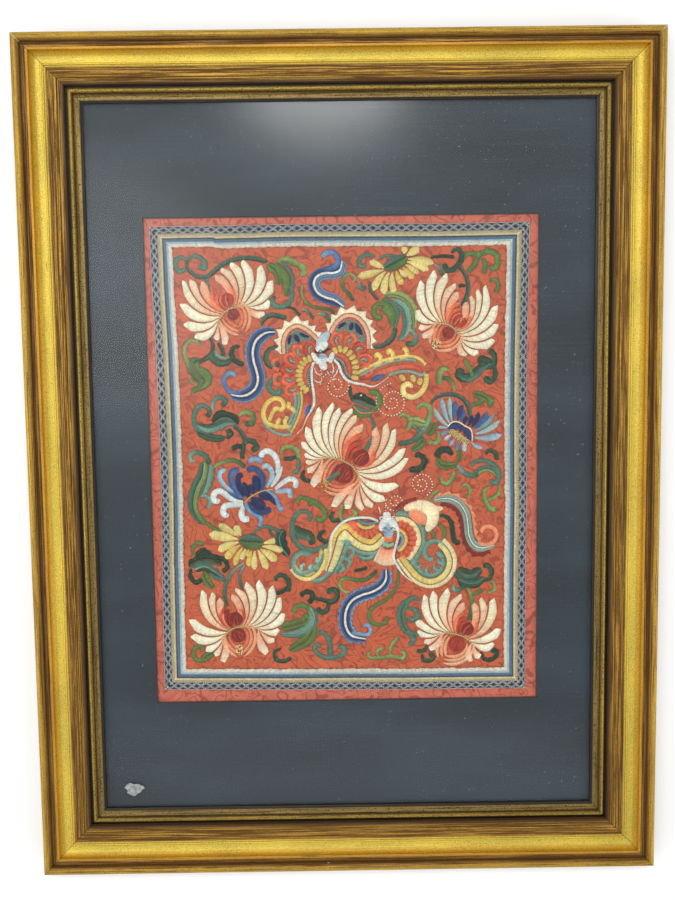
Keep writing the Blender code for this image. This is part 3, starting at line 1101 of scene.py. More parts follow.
@dataclass
class Lotus:
    """A lotus seen from the side: two fans of long petals, a bud above the waist and a cup below.

    Its own x axis runs from the waist up through the bud. Sides are +1 (left of the axis) and -1.

    Attributes:
        spot: where its waist is, which way it points, and its size.
        left, right: each petal's angle from the axis, and its length.
        waist: how far the waist runs to the left and to the right, and how far its ends drop.
        lean: how far the cup leans to the right, in degrees.
        petal: the greatest half-width of a petal.
        outer: threads of the fan's petals, foot to tip, from the middle outwards.
        bud: threads of the bud, from its ball outwards.
        cup: threads of the cup, heart first.
        plump: the size of the bud's petals, as a share.
        heart: half the width of the dark heart.
        small: threads of the petals that hang below the waist.
        pistil: the thread of its knots, and of the stalk that carries them.
    """

    spot: Spot
    left: Sequence[tuple[float, float]]
    right: Sequence[tuple[float, float]]
    waist: tuple[float, float, float]
    lean: float = 0.0
    petal: float = 4.9
    outer: Sequence[tuple] = (
        (Thread.CORAL, Thread.PEACH, Thread.BLUSH),
        (Thread.PEACH, Thread.BLUSH, Thread.CREAM),
        (Thread.PEACH, Thread.CREAM, Thread.IVORY),
        (Thread.CREAM, Thread.IVORY, Thread.IVORY),
    )
    bud: tuple[Thread, ...] = (Thread.RED, Thread.ORANGE, Thread.CORAL, Thread.CORAL)
    cup: tuple[Thread, ...] = (Thread.CRIMSON, Thread.CORAL, Thread.PEACH, Thread.PEACH)
    plump: float = 1.0
    heart: float = 5.0
    small: Tint = (Thread.PEACH, Thread.BLUSH, Thread.IVORY)
    pistil: tuple = (None, None)

    def foot(self, side: int, share: float) -> np.ndarray:
        """A point on the waist, from its middle (0) to one end (1)."""
        wide = self.waist[0] if side > 0 else self.waist[1]
        return np.array([-self.waist[2] * share**2, side * wide * share])

    def petals(self, work: Needlework, side: int) -> None:
        """One fan of long petals, and the short ones that end it."""
        petals = self.left if side > 0 else self.right
        lines, tints = [], []
        for number, (angle, length) in enumerate(petals):
            share = number / (len(petals) - 1)
            foot = self.foot(side, 0.22 + 0.78 * min(1.0, share * 1.2))
            # petals beside the bud set off furthest to the side, drooping ones hardly at all
            droop = min(max(0.0, (angle - 100) / 50), 1.0)
            lead = 36 - 34 * droop + 20 * math.exp(-(angle / 12) ** 2)
            lines.append(leaning(foot, ray(side * angle, length), side * lead))
            outer = self.outer[min(number, len(self.outer) - 1)]
            tints.append(self.small if droop > 0.3 else outer)
        voided_fan(work, lines, self.petal, tints, inner=-float(side))

    def bud_above(self, work: Needlework) -> None:
        """The closed bud: petals that hook over a round ball."""
        ball, inner, middle, outer = self.bud
        for points, width, tint in (
                (((1.5, -5.5), (6, -10.6), (12, -11.6), (18.5, -8.0)), 2.1, (middle, outer)),
                (((1.5, 5.5), (7, 9.0), (15, 8.4), (22, 3.5)), 2.5, (outer, middle)),
                (((1.5, 3.2), (7, 5.4), (13, 4.8), (18, 0.2)), 2.0, (middle, inner)),
                (((1.5, 1.2), (6, 2.4), (11, 1.8), (14, -2.2)), 1.6, (inner, middle))):
            line = Path.through(*(self.plump * np.array(points)))
            work.cover(line, blade(self.plump * width, cut=0.84), (tint, tint[::-1]), slant=0.04,
                       bed=0.2)
        axis = Path(self.plump * np.array([[2.0, -3.9], [8.0, -4.4], [14.0, -4.9]]))
        oval(work, axis, 6.0 * self.plump, (ball, (inner, ball)), ((inner, ball), ball), bed=0.4)
        curl = Path.through(*(self.plump * np.array([(3.4, -1.6), (8.5, -2.4), (12.0, -4.8)])))
        work.cover(curl, 0.9, middle, bed=0.7)

    def cup_below(self, work: Needlework) -> None:
        """The open cup: a dark round heart with strips that run round it on both sides."""
        dark, *strips = self.cup
        axis, share = 180 + self.lean, np.linspace(0, 1, 30)
        centre = ray(axis, self.heart + 1.2)
        for side in (1, -1):
            for number, tint in reversed(list(enumerate(strips))):
                sweep = (144 if side < 0 else 96) - 6 * number
                turn = np.radians(axis - side * (116 - sweep * share))
                far = self.heart + 1.9 + 3.3 * number + 5.5 * share**2.5
                line = Path(centre + far[:, None] * np.column_stack([np.cos(turn), np.sin(turn)]))
                work.cover(line, blade(1.85, peak=0.55, cut=0.80, foot=0.9),
                           (strips[max(number - 1, 0)], tint), slant=0.04, bed=0.15)
        line = Path(centre + np.array([[-self.heart], [0.0], [self.heart]]) * ray(axis))
        oval(work, line, self.heart, (dark, (dark, Thread.RED)), ((Thread.RED, dark), dark),
             slant=0.03, bed=0.3)
        for side, start, end in ((0.62, -0.4, 0.5), (0.28, -0.6, 0.1), (-0.50, -0.5, 0.3)):
            across = side * self.heart * ray(axis + 90)
            curl = leaning(centre + across + ray(axis, start * self.heart),
                           centre + 0.8 * across + ray(axis, end * self.heart), 26 * np.sign(side))
            work.cover(curl, swell(0.13 * self.heart, 0.5, 0.5), (Thread.ORANGE, Thread.RED),
                       slant=0.04, bed=0.6)

    def waist_line(self, work: Needlework) -> None:
        """The couched gold line and its knots, and the pistil."""
        share = np.linspace(-1, 1, 30)
        line = Path(np.array([self.foot(1 if s > 0 else -1, abs(s)) for s in share]))
        work.stem(line, Thread.GOLD, width=1.0, reach=2.2, bed=0.5)
        count = int(line.length / 2.2)
        around = line.beside(np.linspace(0.02, 0.98, count),
                             lambda t: 0.9 * np.sign(np.sin(t * 400)))
        work.beads(around, Thread.STRAW, 0.40, bed=0.5)
        knots, stalk = self.pistil
        axis = 180 + self.lean
        if stalk:
            line = leaning(ray(axis - 16, 11.0), ray(axis - 18, 25.0), -10)
            work.cover(line, 2.4, stalk, slant=0.08, bed=0.5)
        if knots:
            spread = work.random.uniform(-1, 1, (46, 2))
            spread = spread[np.hypot(*spread.T) < 1]
            work.beads(ray(axis - 16, 28.0 if stalk else 20.5) + spread * (5.2, 3.8), knots, 0.62,
                       bed=0.45)

    def stitch(self, work: Needlework) -> None:
        """Work the whole flower."""
        work.spot = self.spot
        for side in (1, -1):
            self.petals(work, side)
        self.cup_below(work)
        self.bud_above(work)
        self.waist_line(work)


def lotuses() -> Needlework:
    """The five lotuses: one in the middle and one near each corner."""
    work = Needlework(seed=5)
    Lotus(Spot(-102, 139, 118), waist=(14, 17, 6), lean=19,
          left=((13, 34), (22, 43), (28, 48), (54, 43), (79, 42), (100, 39), (130, 29), (148, 31)),
          right=((9, 33), (20, 38), (33, 43), (46, 47), (66, 50), (86, 48), (108, 39),
                 (127, 33))).stitch(work)
    Lotus(Spot(97, 122, 57), waist=(13, 15, 6), lean=8, pistil=(Thread.STRAW, None),
          left=((20, 31), (26, 38), (37, 47), (49, 52), (66, 49), (98, 35), (125, 29), (145, 27)),
          right=((0, 26), (2, 33), (4, 41), (8, 48), (34, 46), (56, 43), (76, 42), (102, 35),
                 (121, 30))).stitch(work)
    Lotus(Spot(5, -1, 57), waist=(24, 16, 8), lean=-2, plump=1.3, heart=9.0,
          bud=(Thread.CRIMSON, Thread.RED, Thread.ORANGE, Thread.CORAL),
          pistil=(Thread.OCHRE, Thread.TEAL),
          left=((13, 38), (24, 45), (29, 51), (42, 52), (47, 58), (60, 59), (81, 52), (97, 48),
                (109, 42),
                (119, 40), (133, 39), (155, 39)),
          right=((3, 42), (10, 51), (20, 53), (42, 53), (52, 54), (82, 49), (104, 47), (121, 45),
                 (134, 44),
                 (154, 41), (172, 42))).stitch(work)
    Lotus(Spot(-103, -151, 103), waist=(11, 22, 6), lean=15, pistil=(Thread.STRAW, None),
          bud=(Thread.CRIMSON, Thread.CRIMSON, Thread.RED, Thread.ORANGE), heart=6.5,
          left=((10, 31), (16, 39), (25, 46), (65, 42), (87, 41), (115, 34), (132, 32), (150, 34)),
          right=((11, 32), (17, 38), (29, 45), (41, 51), (56, 54), (70, 52), (88, 49), (107, 42),
                 (124, 39),
                 (146, 38))).stitch(work)
    Lotus(Spot(105, -161, 70), waist=(17, 13, 3), lean=-2,
          bud=(Thread.CRIMSON, Thread.RED, Thread.ORANGE, Thread.CORAL),
          cup=(Thread.RED, Thread.PEACH, Thread.PEACH, Thread.BLUSH), heart=7.5,
          left=((13, 31), (18, 39), (34, 46), (50, 49), (60, 51), (90, 44), (103, 40), (120, 34),
                (136, 31)),
          right=((3, 34), (9, 41), (22, 47), (62, 38), (86, 33), (122, 28), (142, 26))).stitch(work)
    return work


# ---------------------------------------------------------------- daisies and blue flowers


def ribbon(width: float, thin: float) -> Callable:
    """The half-width of a scroll that thickens from its start and ends in a round knob.

    Args:
        width: its greatest full width.
        thin: the start's width, as a share of that.
    """
    knob, start = 0.07, 0.03  # the shares of its length that are rounded off

    def profile(share: np.ndarray) -> np.ndarray:
        t = np.clip(share, 0, 1)
        body = thin + (1 - thin) * np.clip(t / 0.4, 0, 1) ** 0.8
        tip = np.sqrt(np.clip(1 - np.clip((t - 0.93) / knob, 0, 1) ** 2, 0, 1))
        foot = np.sqrt(np.clip(1 - np.clip((start - t) / start, 0, 1) ** 2, 0.05, 1))
        return 0.5 * width * body * tip * foot
    return profile


def scroll(work: Needlework, points: Sequence[tuple], width: float, tint: Tint, thin: float = 0.3,
           wave: float = 0.0, **options) -> None:
    """A curling ribbon.

    Args:
        work: where the stitches go.
        points: a few points that it runs through.
        width: its greatest width.
        tint: its threads.
        thin: how wide it starts, as a share.
        wave: how deeply its edges are waved, as a share of its width.
        options: as for Needlework.satin.
    """
    near = far = ribbon(width, thin)
    path = Path.through(*points)
    if wave:
        lobes = max(2, round(path.length / 5.2))
        near = scallops(near, lobes, wave * width, 0.6)
        far = scallops(far, lobes + 1, 0.5 * wave * width)
    settings = {"slant": min(0.03, 1.2 / path.length), **options}
    work.band(path, near, scaled(far, -1), tint, **settings)


def lens(work: Needlework, start: tuple, end: tuple, width: float, tint: Tint, lead: float = 0.0,
         peak: float = 0.5, fullness: float = 0.6, **options) -> None:
    """A leaf-like patch between two points."""
    patch(work, start, end, swell(width / 2, peak, fullness), tint, lead,
          **{"slant": 0.05, **options})


@dataclass
class Daisy:
    """A daisy seen from the side: a green oval heart over yellow petals.

    Attributes:
        spot: the middle of the heart.
        heart: half the oval's length and height.
        petals: foot and tip of each petal round the heart, its width, how far to the left it sets
            off and its thread.
    """

    spot: Spot
    heart: tuple[float, float]
    petals: Sequence[tuple]

    def stitch(self, work: Needlework) -> None:
        """Work the petals, then the heart over their feet."""
        work.spot = self.spot
        for foot, tip, width, lead, tint in self.petals:
            patch(work, foot, tip, blade(width * 0.68, peak=0.6, cut=0.84), tint, lead, slant=0.04)
        long, high = self.heart
        axis = Path(np.array([[-long, 0.0], [0.0, 0.0], [long, 0.0]]))
        oval(work, axis, high, (Thread.TEAL, (Thread.TEAL, Thread.PINE)),
             ((Thread.PINE, Thread.MOSS), Thread.MOSS), split=(0.6, 0.9), bed=0.3)


def daisies(work: Needlework) -> None:
    """The two daisies."""
    straw, gold = (Thread.YELLOW, Thread.STRAW), (Thread.OCHRE, Thread.YELLOW)
    dark = (Thread.OCHRE, Thread.STRAW)
    Daisy(Spot(48, 178.5, 25), (11.5, 6.2), (
        ((-11, 0), (-20, 11.5), 5, 0, straw), ((-12, -1), (-35.5, 4), 6, 6, dark),
        ((-11, -3), (-28.5, -13.5), 5.5, -16, straw), ((-8.5, -5), (-21.5, -20.5), 5.5, -16, straw),
        ((-6, -6), (-12.5, -24), 5, -14, straw), ((-2.5, -6.5), (-2.5, -20), 5, -12, gold),
        ((0.5, -6.5), (4.5, -15), 4.5, -10, straw), ((4, -6), (8, -19.5), 5, 10, gold),
        ((7, -5), (14, -17.5), 4.6, 14, dark), ((9.5, -3.5), (23, -19), 6, 18, straw),
        ((11, -1.5), (30, -15.5), 5.6, 14, dark), ((11.5, 1.5), (24.5, 2.5), 6, 4, straw),
        ((10, 4), (13.5, 9.5), 5, 0, straw))).stitch(work)
    Daisy(Spot(-85.5, -71, -7), (11, 7.4), (
        ((-10, 4.5), (-16, 13.5), 5.4, 4, straw), ((-12, 4), (-31, 13.5), 6, 8, dark),
        ((-12, 1), (-39, 3.5), 7.6, 4, straw), ((-11, -1.5), (-29.5, -11.5), 6, -10, straw),
        ((-9.5, -4), (-21.5, -18.5), 6, -14, gold), ((-7, -6), (-13, -23.5), 4.6, -12, gold),
        ((-4.5, -7), (-7.5, -17.5), 4, -6, straw), ((-1.5, -7.5), (-3, -13.5), 4.4, 0, gold),
        ((1, -8), (0, -23), 4.6, -8, gold), ((4, -7.5), (5.5, -25.5), 4.6, -4, straw),
        ((6.5, -6.5), (16.5, -24), 5.4, 8, straw), ((8.5, -5.5), (24.5, -15.5), 6.6, 12, dark),
        ((10, -3), (30.5, -5.5), 5, 10, straw), ((11, 0), (22.5, 4), 4.4, 0, straw))).stitch(work)


def hooked_flower(work: Needlework) -> None:
    """The blue flower on the left, all long ribbons that end in hooks."""
    work.at(-85, -27)
    white, pale = (Thread.ICE, Thread.WHITE), (Thread.SKY, Thread.ICE)
    blue, deep = (Thread.ROYAL, Thread.BLUE), Thread.NAVY
    for points, width, tint in (
            (((24, 18), (25, 27), (22, 35), (16, 39), (11, 37), (10, 33)), 5.0, white),
            (((-9, -4), (-15, 5), (-18, 15), (-16, 21), (-10, 22)), 4.8, blue),
            (((-15, 1), (-23, 7), (-28, 15), (-27, 21), (-22, 22)), 4.2, pale),
            (((-6, -2), (-11, 9), (-11, 16), (-7, 17.5)), 4.6, deep),
            (((9, 3), (11, 13), (8, 20), (2, 23.5), (-3, 21)), 4.8, Thread.ROYAL),
            (((14, 6), (19, 14), (19, 21), (15, 25.5), (10.5, 24)), 4.4, pale),
            (((-1, 28), (1, 31.5), (6, 32), (11, 29)), 4.6, Thread.SKY),
            (((22, 4), (29, 10), (36, 13.5), (41, 11), (40, 5)), 4.6, white),
            (((22, 2), (30, 2.5), (35, 2.5), (36, -4)), 4.6, pale),
            (((-7, -7.5), (-15, -6), (-22, -1), (-28, 3), (-33, 1), (-34, -5), (-28, -6.5)), 5.2,
             white),
            (((-7, -10), (-17, -10), (-24, -11), (-25.5, -17), (-21, -20.5)), 5.2, white),
            (((-7, -11), (-9, -18), (-7, -23), (-2, -22.5)), 5.4, white),
            (((-5, -8), (-2, -15), (5, -20), (9, -23), (7, -30)), 3.8, Thread.SKY),
            (((14, 3), (21, -2), (25, -10), (26, -14), (30, -13)), 3.8, Thread.SKY)):
        scroll(work, points, 1.22 * width, tint, thin=0.6)
    for start, end, width, lead, tint in (
            ((18, 6), (29, 25), 4.2, -10, white), ((-6, -5), (-21, 1), 4.4, -10, blue),
            ((-2, -3), (-6, 11), 6.0, 10, deep), ((3, 0), (-1, 9), 5.0, 6, deep),
            ((6, 2), (3, 17), 7.4, -14, deep), ((9, 2), (22, -10), 5.2, 22, deep),
            ((7, 0), (15, -6), 4.6, 10, deep), ((1, -3), (13, -12), 8.4, -16, deep)):
        lens(work, start, end, 1.2 * width, tint, lead, bed=0.15)
    scroll(work, ((-2, -7), (2, -15), (10, -17), (18, -14)), 6.2, (Thread.NAVY, Thread.ROYAL),
           thin=0.4)
    waist = Path.through((-6, -8), (-1, -3), (5, 0.5), (12, 3), (20, 4))
    work.stem(waist, Thread.GOLD, width=1.1, reach=2.2, bed=0.5)


def pale_lotus(work: Needlework) -> None:
    """The pale blue lotus on the right, with short navy petals round its waist."""
    work.at(104, 32)
    pale, ice = (Thread.SKY, Thread.ICE), (Thread.AQUA, Thread.ICE)
    blue, deep = (Thread.ROYAL, Thread.BLUE), Thread.NAVY
    for foot, tip, width, lead, tint in (
            ((-9, 0), (-22, 17), 5.4, 22, ice), ((-8, 2), (-15, 26), 5.4, 16, pale),
            ((-6, 4), (-8, 27), 4.8, 10, ice), ((-4, 5), (-2, 23), 5.6, 16, blue),
            ((-1, 5), (4, 19.5), 5.0, 14, (Thread.NAVY, Thread.ROYAL)),
            ((2, 4), (6, 14), 4.6, 12, blue),
            ((5, 2), (7, 9.5), 5.4, 10, deep), ((8, 0), (12.5, 9.5), 4.8, -6, deep),
            ((11, -1), (18, 12.5), 4.8, -16, deep), ((13, -2), (26, 13), 5.6, -20, blue),
            ((14, -4), (32, 11), 4.8, -20, (Thread.SKY, Thread.AQUA)),
            ((14, -7), (37, 5), 6.0, -18, ice),
            ((14, -10), (39, -8), 7.4, -14, pale), ((11, -14), (21.5, -20), 4.6, -18, pale),
            ((-10, -1), (-19, 0), 3.4, 10, (Thread.SKY, Thread.ICE)),
            ((-9, -4), (-16, -7), 4.4, 0, Thread.SKY),
            ((-7, -8), (-13, -12), 4.4, 0, (Thread.SKY, Thread.WHITE)),
            ((-4, -11), (-9, -17), 4.4, 0, (Thread.ICE, Thread.BLUE)),
            ((1, -13), (-2, -22), 4.6, 0, (Thread.BLUE, Thread.SKY)),
            ((5, -14), (5, -23), 4.8, 0, Thread.ICE)):
        patch(work, foot, tip, blade(width / 2, peak=0.6, cut=0.80, foot=0.7), tint, lead,
              slant=0.05)
    for start, end, lead in (((-10, -1), (-2, 3), -20), ((-4, -3), (0, 3), -10),
                             ((1, -5), (4, 2), 0),
                             ((6, -9), (7, -1), 8), ((10, -13), (10, -3), 16)):
        lens(work, start, end, 4.8, (Thread.NAVY, Thread.ROYAL), lead, bed=0.2)
    strip = Path.through((-8, -3), (-2, -7), (4, -12), (9, -15))
    work.seeded(lambda t: strip.beside(t, 2.6), lambda t: strip.beside(t, -3.4),
                (Thread.STRAW, Thread.YELLOW), bed=0.25)
    waist = Path.through((-10, 0), (-6, 4), (0, 4), (5, 0.5), (10, -2), (12, -7), (12, -13))
    work.stem(waist, Thread.CREAM, width=1.3, reach=2.0, bed=0.5)
    work.dotted(waist, Thread.IVORY, pitch=2.0, radius=0.5, bed=0.55)


def blossoms() -> Needlework:
    """The daisies and the blue flowers."""
    work = Needlework(seed=8)
    daisies(work)
    hooked_flower(work)
    pale_lotus(work)
    return work


# ---------------------------------------------------------------- butterflies


def streamer(work: Needlework, points: Sequence[tuple], half: float, left: Sequence,
             right: Sequence, fringe: tuple[float, float] = (0.0, 0.0), core: float = 2.5,
             thin: float = 0.5) -> None:
    """A long tail: a white line down its middle, and shaded rows to each side.

    Args:
        work: where the stitches go.
        points: the middle line.
        half: how far each side reaches.
        left, right: the threads of each side, from the middle outwards.
        fringe: how far apart the points of the outer edge are, and how deep.
        core: the white line's width.
        thin: the width at the ends, as a share.
    """
    path = Path.through(*points)
    pitch, depth = fringe

    def girth(share: np.ndarray) -> np.ndarray:
        t = np.clip(share, 0, 1)
        return thin + (1 - thin) * np.clip(np.minimum(t, 1 - t) / 0.16, 0, 1) ** 0.7

    for side, shades in ((1, left), (-1, right)):
        steps = np.linspace(core / 2, half, len(shades) + 1)
        edges = [(lambda t, step=step: side * step * girth(t)) for step in steps]
        if depth:
            outer = teeth(lambda t: half * girth(t) - depth * 0.3, path.length / pitch, depth, 1.0)
            edges[-1] = lambda t: side * outer(t)
        work.rows(path, edges, shades, slant=min(0.02, 1.0 / path.length))
    work.cover(path, lambda t: core / 2 * girth(t), Thread.WHITE, bed=0.25, slant=0.01)


def studs(work: Needlework, path: Path, count: int, length: float, width: float,
          tint: Tint, bed: float = 0.35) -> None:
    """A row of small padded ovals laid across a line."""
    for share in (np.arange(count) + 0.5) / count:
        ends = path.beside([share, share], np.array([length / 2, -length / 2]))
        lens(work, ends[0], ends[1], width, tint, peak=0.45, fullness=0.32, bed=bed, slant=0.02)


def curls(work: Needlework, path: Path, count: int, reach: float, width: float,
          tints: Sequence[Tint]) -> None:
    """Hooked lobes that stand out to the left of a line, with a pale hook inside each.

    Args:
        work: where the stitches go.
        path: the line.
        count: how many lobes there are.
        reach: how far they stand out.
        width: how much of the line each takes.
        tints: their threads, in turn.
    """
    for number, share in enumerate((np.arange(count) + 0.5) / count):
        foot = path.at(share)[0]
        side = path.tangent(share)[0]
        out = np.array([-side[1], side[0]])
        spots = [foot - side * width * 0.35, foot - side * width * 0.45 + out * reach * 0.55,
                 foot + side * width * 0.25 + out * reach * 0.95,
                 foot + side * width * 0.98 + out * reach * 0.62,
                 foot + side * width * 0.62 + out * reach * 0.30]
        scroll(work, [tuple(spot) for spot in spots], 0.62 * width, tints[number % len(tints)],
               thin=0.8)
        inner = [foot + side * width * 0.12 + out * reach * 0.08,
                 foot + side * width * 0.05 + out * reach * 0.40,
                 foot + side * width * 0.5 + out * reach * 0.58]
        scroll(work, [tuple(spot) for spot in inner], 2.0, (Thread.SAGE, Thread.AQUA), thin=0.7,
               bed=0.15)


def fan_wing(work: Needlework, rim: Path, inner: Path, flames: float,
             commas: Sequence[tuple]) -> None:
    """A forewing: an ivory edge of flames, a peach rim and a field of knots with dark commas."""
    flame = teeth(lambda t: 2.2 + 3.2 * np.sin(np.pi * np.clip(t * 0.86 + 0.1, 0, 1)), flames, 4.6,
                  1.8)
    work.band(rim, 1.6, flame, ((Thread.CREAM, Thread.IVORY), Thread.IVORY), slant=0.01)
    work.band(rim, 1.8, -2.0, (Thread.PEACH, Thread.BLUSH), bed=0.1)
    work.seeded(lambda t: rim.beside(t, -2.9), inner.at, (Thread.SAGE, Thread.AQUA, Thread.SAGE))
    for start, end, width in commas:
        lens(work, start, end, width, Thread.NAVY, 14, bed=0.55)


def upper_wings(work: Needlework) -> None:
    """The upper butterfly's forewings and the curls and studs inside them."""
    fan_wing(work, Path.through((-11, 117.5), (-5, 127), (3, 132.5), (12, 131.5), (19, 125),
                                (23, 115), (23, 103)),
             Path.through((-8, 115), (-3, 118), (4, 119), (10, 112), (16, 108), (19, 103)), 8.6,
             (((-4, 121.5), (3, 126), 3.4), ((7, 119.5), (9.5, 126), 4.6),
              ((17.5, 115.5), (12, 125.5), 4.8)))
    fan_wing(work, Path.through((-53, 99), (-53, 111), (-49, 119.5), (-41, 124), (-33, 121),
                                (-26, 115.5), (-22, 111)),
             Path.through((-50, 97), (-48, 104), (-42, 108), (-36, 110), (-29, 109), (-25, 107)),
             8.2,
             (((-48.5, 107.5), (-46, 116), 3.6), ((-38.5, 110), (-43, 116.5), 4.8),
              ((-30, 114), (-38.5, 117.5), 3.2)))
    right = Path.through((-9, 104.5), (-1, 107), (6, 105), (12, 99), (15, 91), (15.5, 80))
    left = Path.through((-27, 99), (-34, 99), (-41, 93), (-44, 84), (-43, 73), (-39, 65))
    warm = ((Thread.CORAL, Thread.ORANGE), (Thread.ORANGE, Thread.CORAL),
            (Thread.RED, Thread.ORANGE))
    curls(work, right, 5, 11.5, 6.2, warm)
    curls(work, Path(left.points[::-1]), 6, 11.5, 6.2, warm)
    for points in (((-57, 95), (-62, 93), (-62, 87), (-57, 85)),
                   ((-55, 81), (-61, 80), (-61, 73), (-56, 72))):
        scroll(work, points, 4.6, warm[1], thin=0.8)
    studs(work, Path.through((-9, 100.5), (-1, 103), (6, 99), (10.5, 91), (11.5, 83), (10, 75)), 9,
          6.2, 5.0,
          (Thread.YELLOW, Thread.OCHRE))
    studs(work, Path.through((-28, 95.5), (-34, 93), (-38.5, 86), (-39.5, 79), (-37, 70),
                             (-32, 65)), 10, 6.2, 4.6,
          (Thread.YELLOW, Thread.OCHRE))
    inner = (Thread.CORAL, Thread.RED)
    scroll(work, ((-7, 97.5), (-1, 96), (3.5, 91), (5, 85), (4.5, 78)), 5.0, inner, thin=0.8,
           bed=0.1)
    scroll(work, ((-28, 91.5), (-33, 87), (-35, 80), (-33, 71)), 5.0, inner, thin=0.7, bed=0.1)
    for points in (((-7, 94.5), (-2, 92), (1, 87), (2.5, 81), (7, 76.5)),
                   ((-27, 88.5), (-30.5, 83), (-31, 76), (-29.5, 69))):
        line = Path.through(*points)
        work.band(line, 1.7, -1.4, Thread.SAGE, bed=0.2)
        side = -1 if points[0][0] > -10 else 1
        work.band(line, -0.6 * side, 1.5 * side, Thread.BLACK, bed=0.5, pitch=1.9, slant=0.04)


def upper_body(work: Needlework) -> None:
    """The upper butterfly's head, thorax, legs and long white edges."""
    for start, end, width, tint, lead in (
            ((-22.5, 105), (-12, 117.5), 9.4, Thread.ICE, 10),
            ((-24, 102), (-14, 109), 9.0, Thread.WHITE, -6),
            ((-27.5, 100), (-22, 90), 5.6, Thread.WHITE, 0),
            ((-8.5, 100), (-12, 91), 5.6, Thread.WHITE, 0),
            ((-18, 99), (-18.5, 91), 9.6, (Thread.ICE, Thread.SKY), 0),
            ((-20, 93), (-16, 84.5), 8.2, Thread.WHITE, 0),
            ((-25, 93.5), (-12, 93.5), 5.4, Thread.WHITE, 0)):
        lens(work, start, end, width, tint, lead, peak=0.5, fullness=0.34, bed=0.3)
    work.band(Path.through((-25.5, 101), (-22, 100), (-20, 102.4), (-17, 100.2), (-14.5, 102.2),
                           (-11, 103.5)),
              0.8, -0.8, Thread.BLACK, bed=0.6)
    for points in (((-25.5, 86), (-24, 82), (-20, 79.5)), ((-26, 76), (-23, 73.5), (-19.5, 74)),
                   ((-10, 91), (-8.5, 86), (-9.5, 81)), ((-4, 86), (-6, 81), (-9, 77.5))):
        scroll(work, points, 1.4, (Thread.BLUSH, Thread.WHITE), thin=0.5, bed=0.2)
    for points in (((-26, 92), (-28, 85), (-28, 74), (-26.5, 63), (-26.5, 54), (-29, 48.5),
                    (-33.5, 41), (-37, 33), (-42, 27.5)),
                   ((-8.5, 94), (-4, 89), (-1, 81), (3, 75.5), (10, 72.5), (18, 71), (25, 69),
                    (31, 70.5), (41, 77.5))):
        work.cover(Path.through(*points), dwindling(1.35, 0.4, 0.35),
                   ((Thread.WHITE, Thread.WHITE, Thread.BLUSH),) * 2, bed=0.5, slant=0.02)


def upper_hindwings(work: Needlework) -> None:
    """The upper butterfly's two hindwings, with their curling yellow ends."""
    gold, aqua = (Thread.YELLOW, Thread.OCHRE), (Thread.SAGE, Thread.AQUA)
    warm = ((Thread.RED, Thread.CORAL, Thread.ORANGE),) * 2
    scroll(work, ((-63, 47), (-61, 50.5), (-56, 49), (-53.5, 53), (-56, 58), (-62, 59.5), (-69, 55),
                  (-72.5, 46),
                  (-70, 38), (-63, 34.5), (-55, 33.5), (-47, 34)), 5.0, gold, thin=0.9)
    for points, width in ((((-67, 39), (-65, 44), (-63, 48)), 4.4),
                          (((-59, 34), (-59.5, 38), (-57, 41.5)), 4.4),
                          (((-51, 34), (-53, 38), (-50.5, 43)), 4.4),
                          (((-43, 46), (-46, 50), (-49.5, 52), (-48.5, 56)), 4.6)):
        scroll(work, points, width, gold, thin=0.9)
    work.rows(Path.through((-41, 65), (-40, 57), (-41.5, 48), (-45, 39), (-50, 30)),
              (-4.4, -1.4, 1.4, 4.2),
              (aqua, aqua, gold))
    work.band(Path.through((-73, 44), (-70, 35), (-63, 29), (-54, 26), (-47, 27)), 1.9, -1.5, aqua,
              bed=0.05)
    work.band(Path.through((-32, 64), (-33, 54), (-37, 44), (-41, 34), (-46, 27)),
              swell(3.4, 0.35, 0.5, 2.0),
              scaled(swell(3.2, 0.35, 0.5, 2.0), -1), warm)
    lens(work, (-31, 54), (-33.5, 43.5), 6.6, (Thread.ROYAL, Thread.BLUE), 0, bed=0.3)
    spine = Path.through((15, 79), (24, 83.5), (34, 88.5), (46, 91.5), (58, 93), (67, 91), (72, 86))
    work.band(spine, 1.2, 4.6, Thread.YELLOW)
    for points in (((27, 88), (33, 90), (34, 95), (31, 98), (28.5, 95)),
                   ((38, 92), (44, 93), (45, 98), (42, 101), (39.5, 98)),
                   ((51, 94), (57, 96), (57, 101), (54, 103.5))):
        scroll(work, points, 5.0, (Thread.YELLOW, Thread.OCHRE), thin=1.0)
    work.band(spine.part(0, 0.86), 1.4, -1.6, aqua)
    work.cover(Path.through((15, 76), (27, 79), (40, 83), (54, 86.5), (64, 86), (71, 82)),
               swell(3.0, 0.5, 0.45, 1.0), warm)
    lens(work, (25, 74), (38, 78.5), 5.6, (Thread.ROYAL, Thread.BLUE), 16, bed=0.3)
    work.band(Path.through((41, 79), (52, 82), (62, 81.5), (70, 78.5), (74, 81)), 1.7, -1.5, aqua,
              bed=0.05)
    scroll(work, ((75, 80), (74, 70), (69, 62), (61, 59), (54.5, 62.5), (54, 68.5), (58.5, 71),
                  (62, 67.5)), 5.6,
           ((Thread.YELLOW, Thread.STRAW, Thread.YELLOW),
            (Thread.OCHRE, Thread.YELLOW, Thread.STRAW)), thin=1.0)
    for start, end in (((51, 79), (55, 74)), ((62, 79), (63.5, 72.5)), ((70, 76), (68, 70))):
        lens(work, start, end, 5.8, gold, fullness=0.4, bed=0.05)


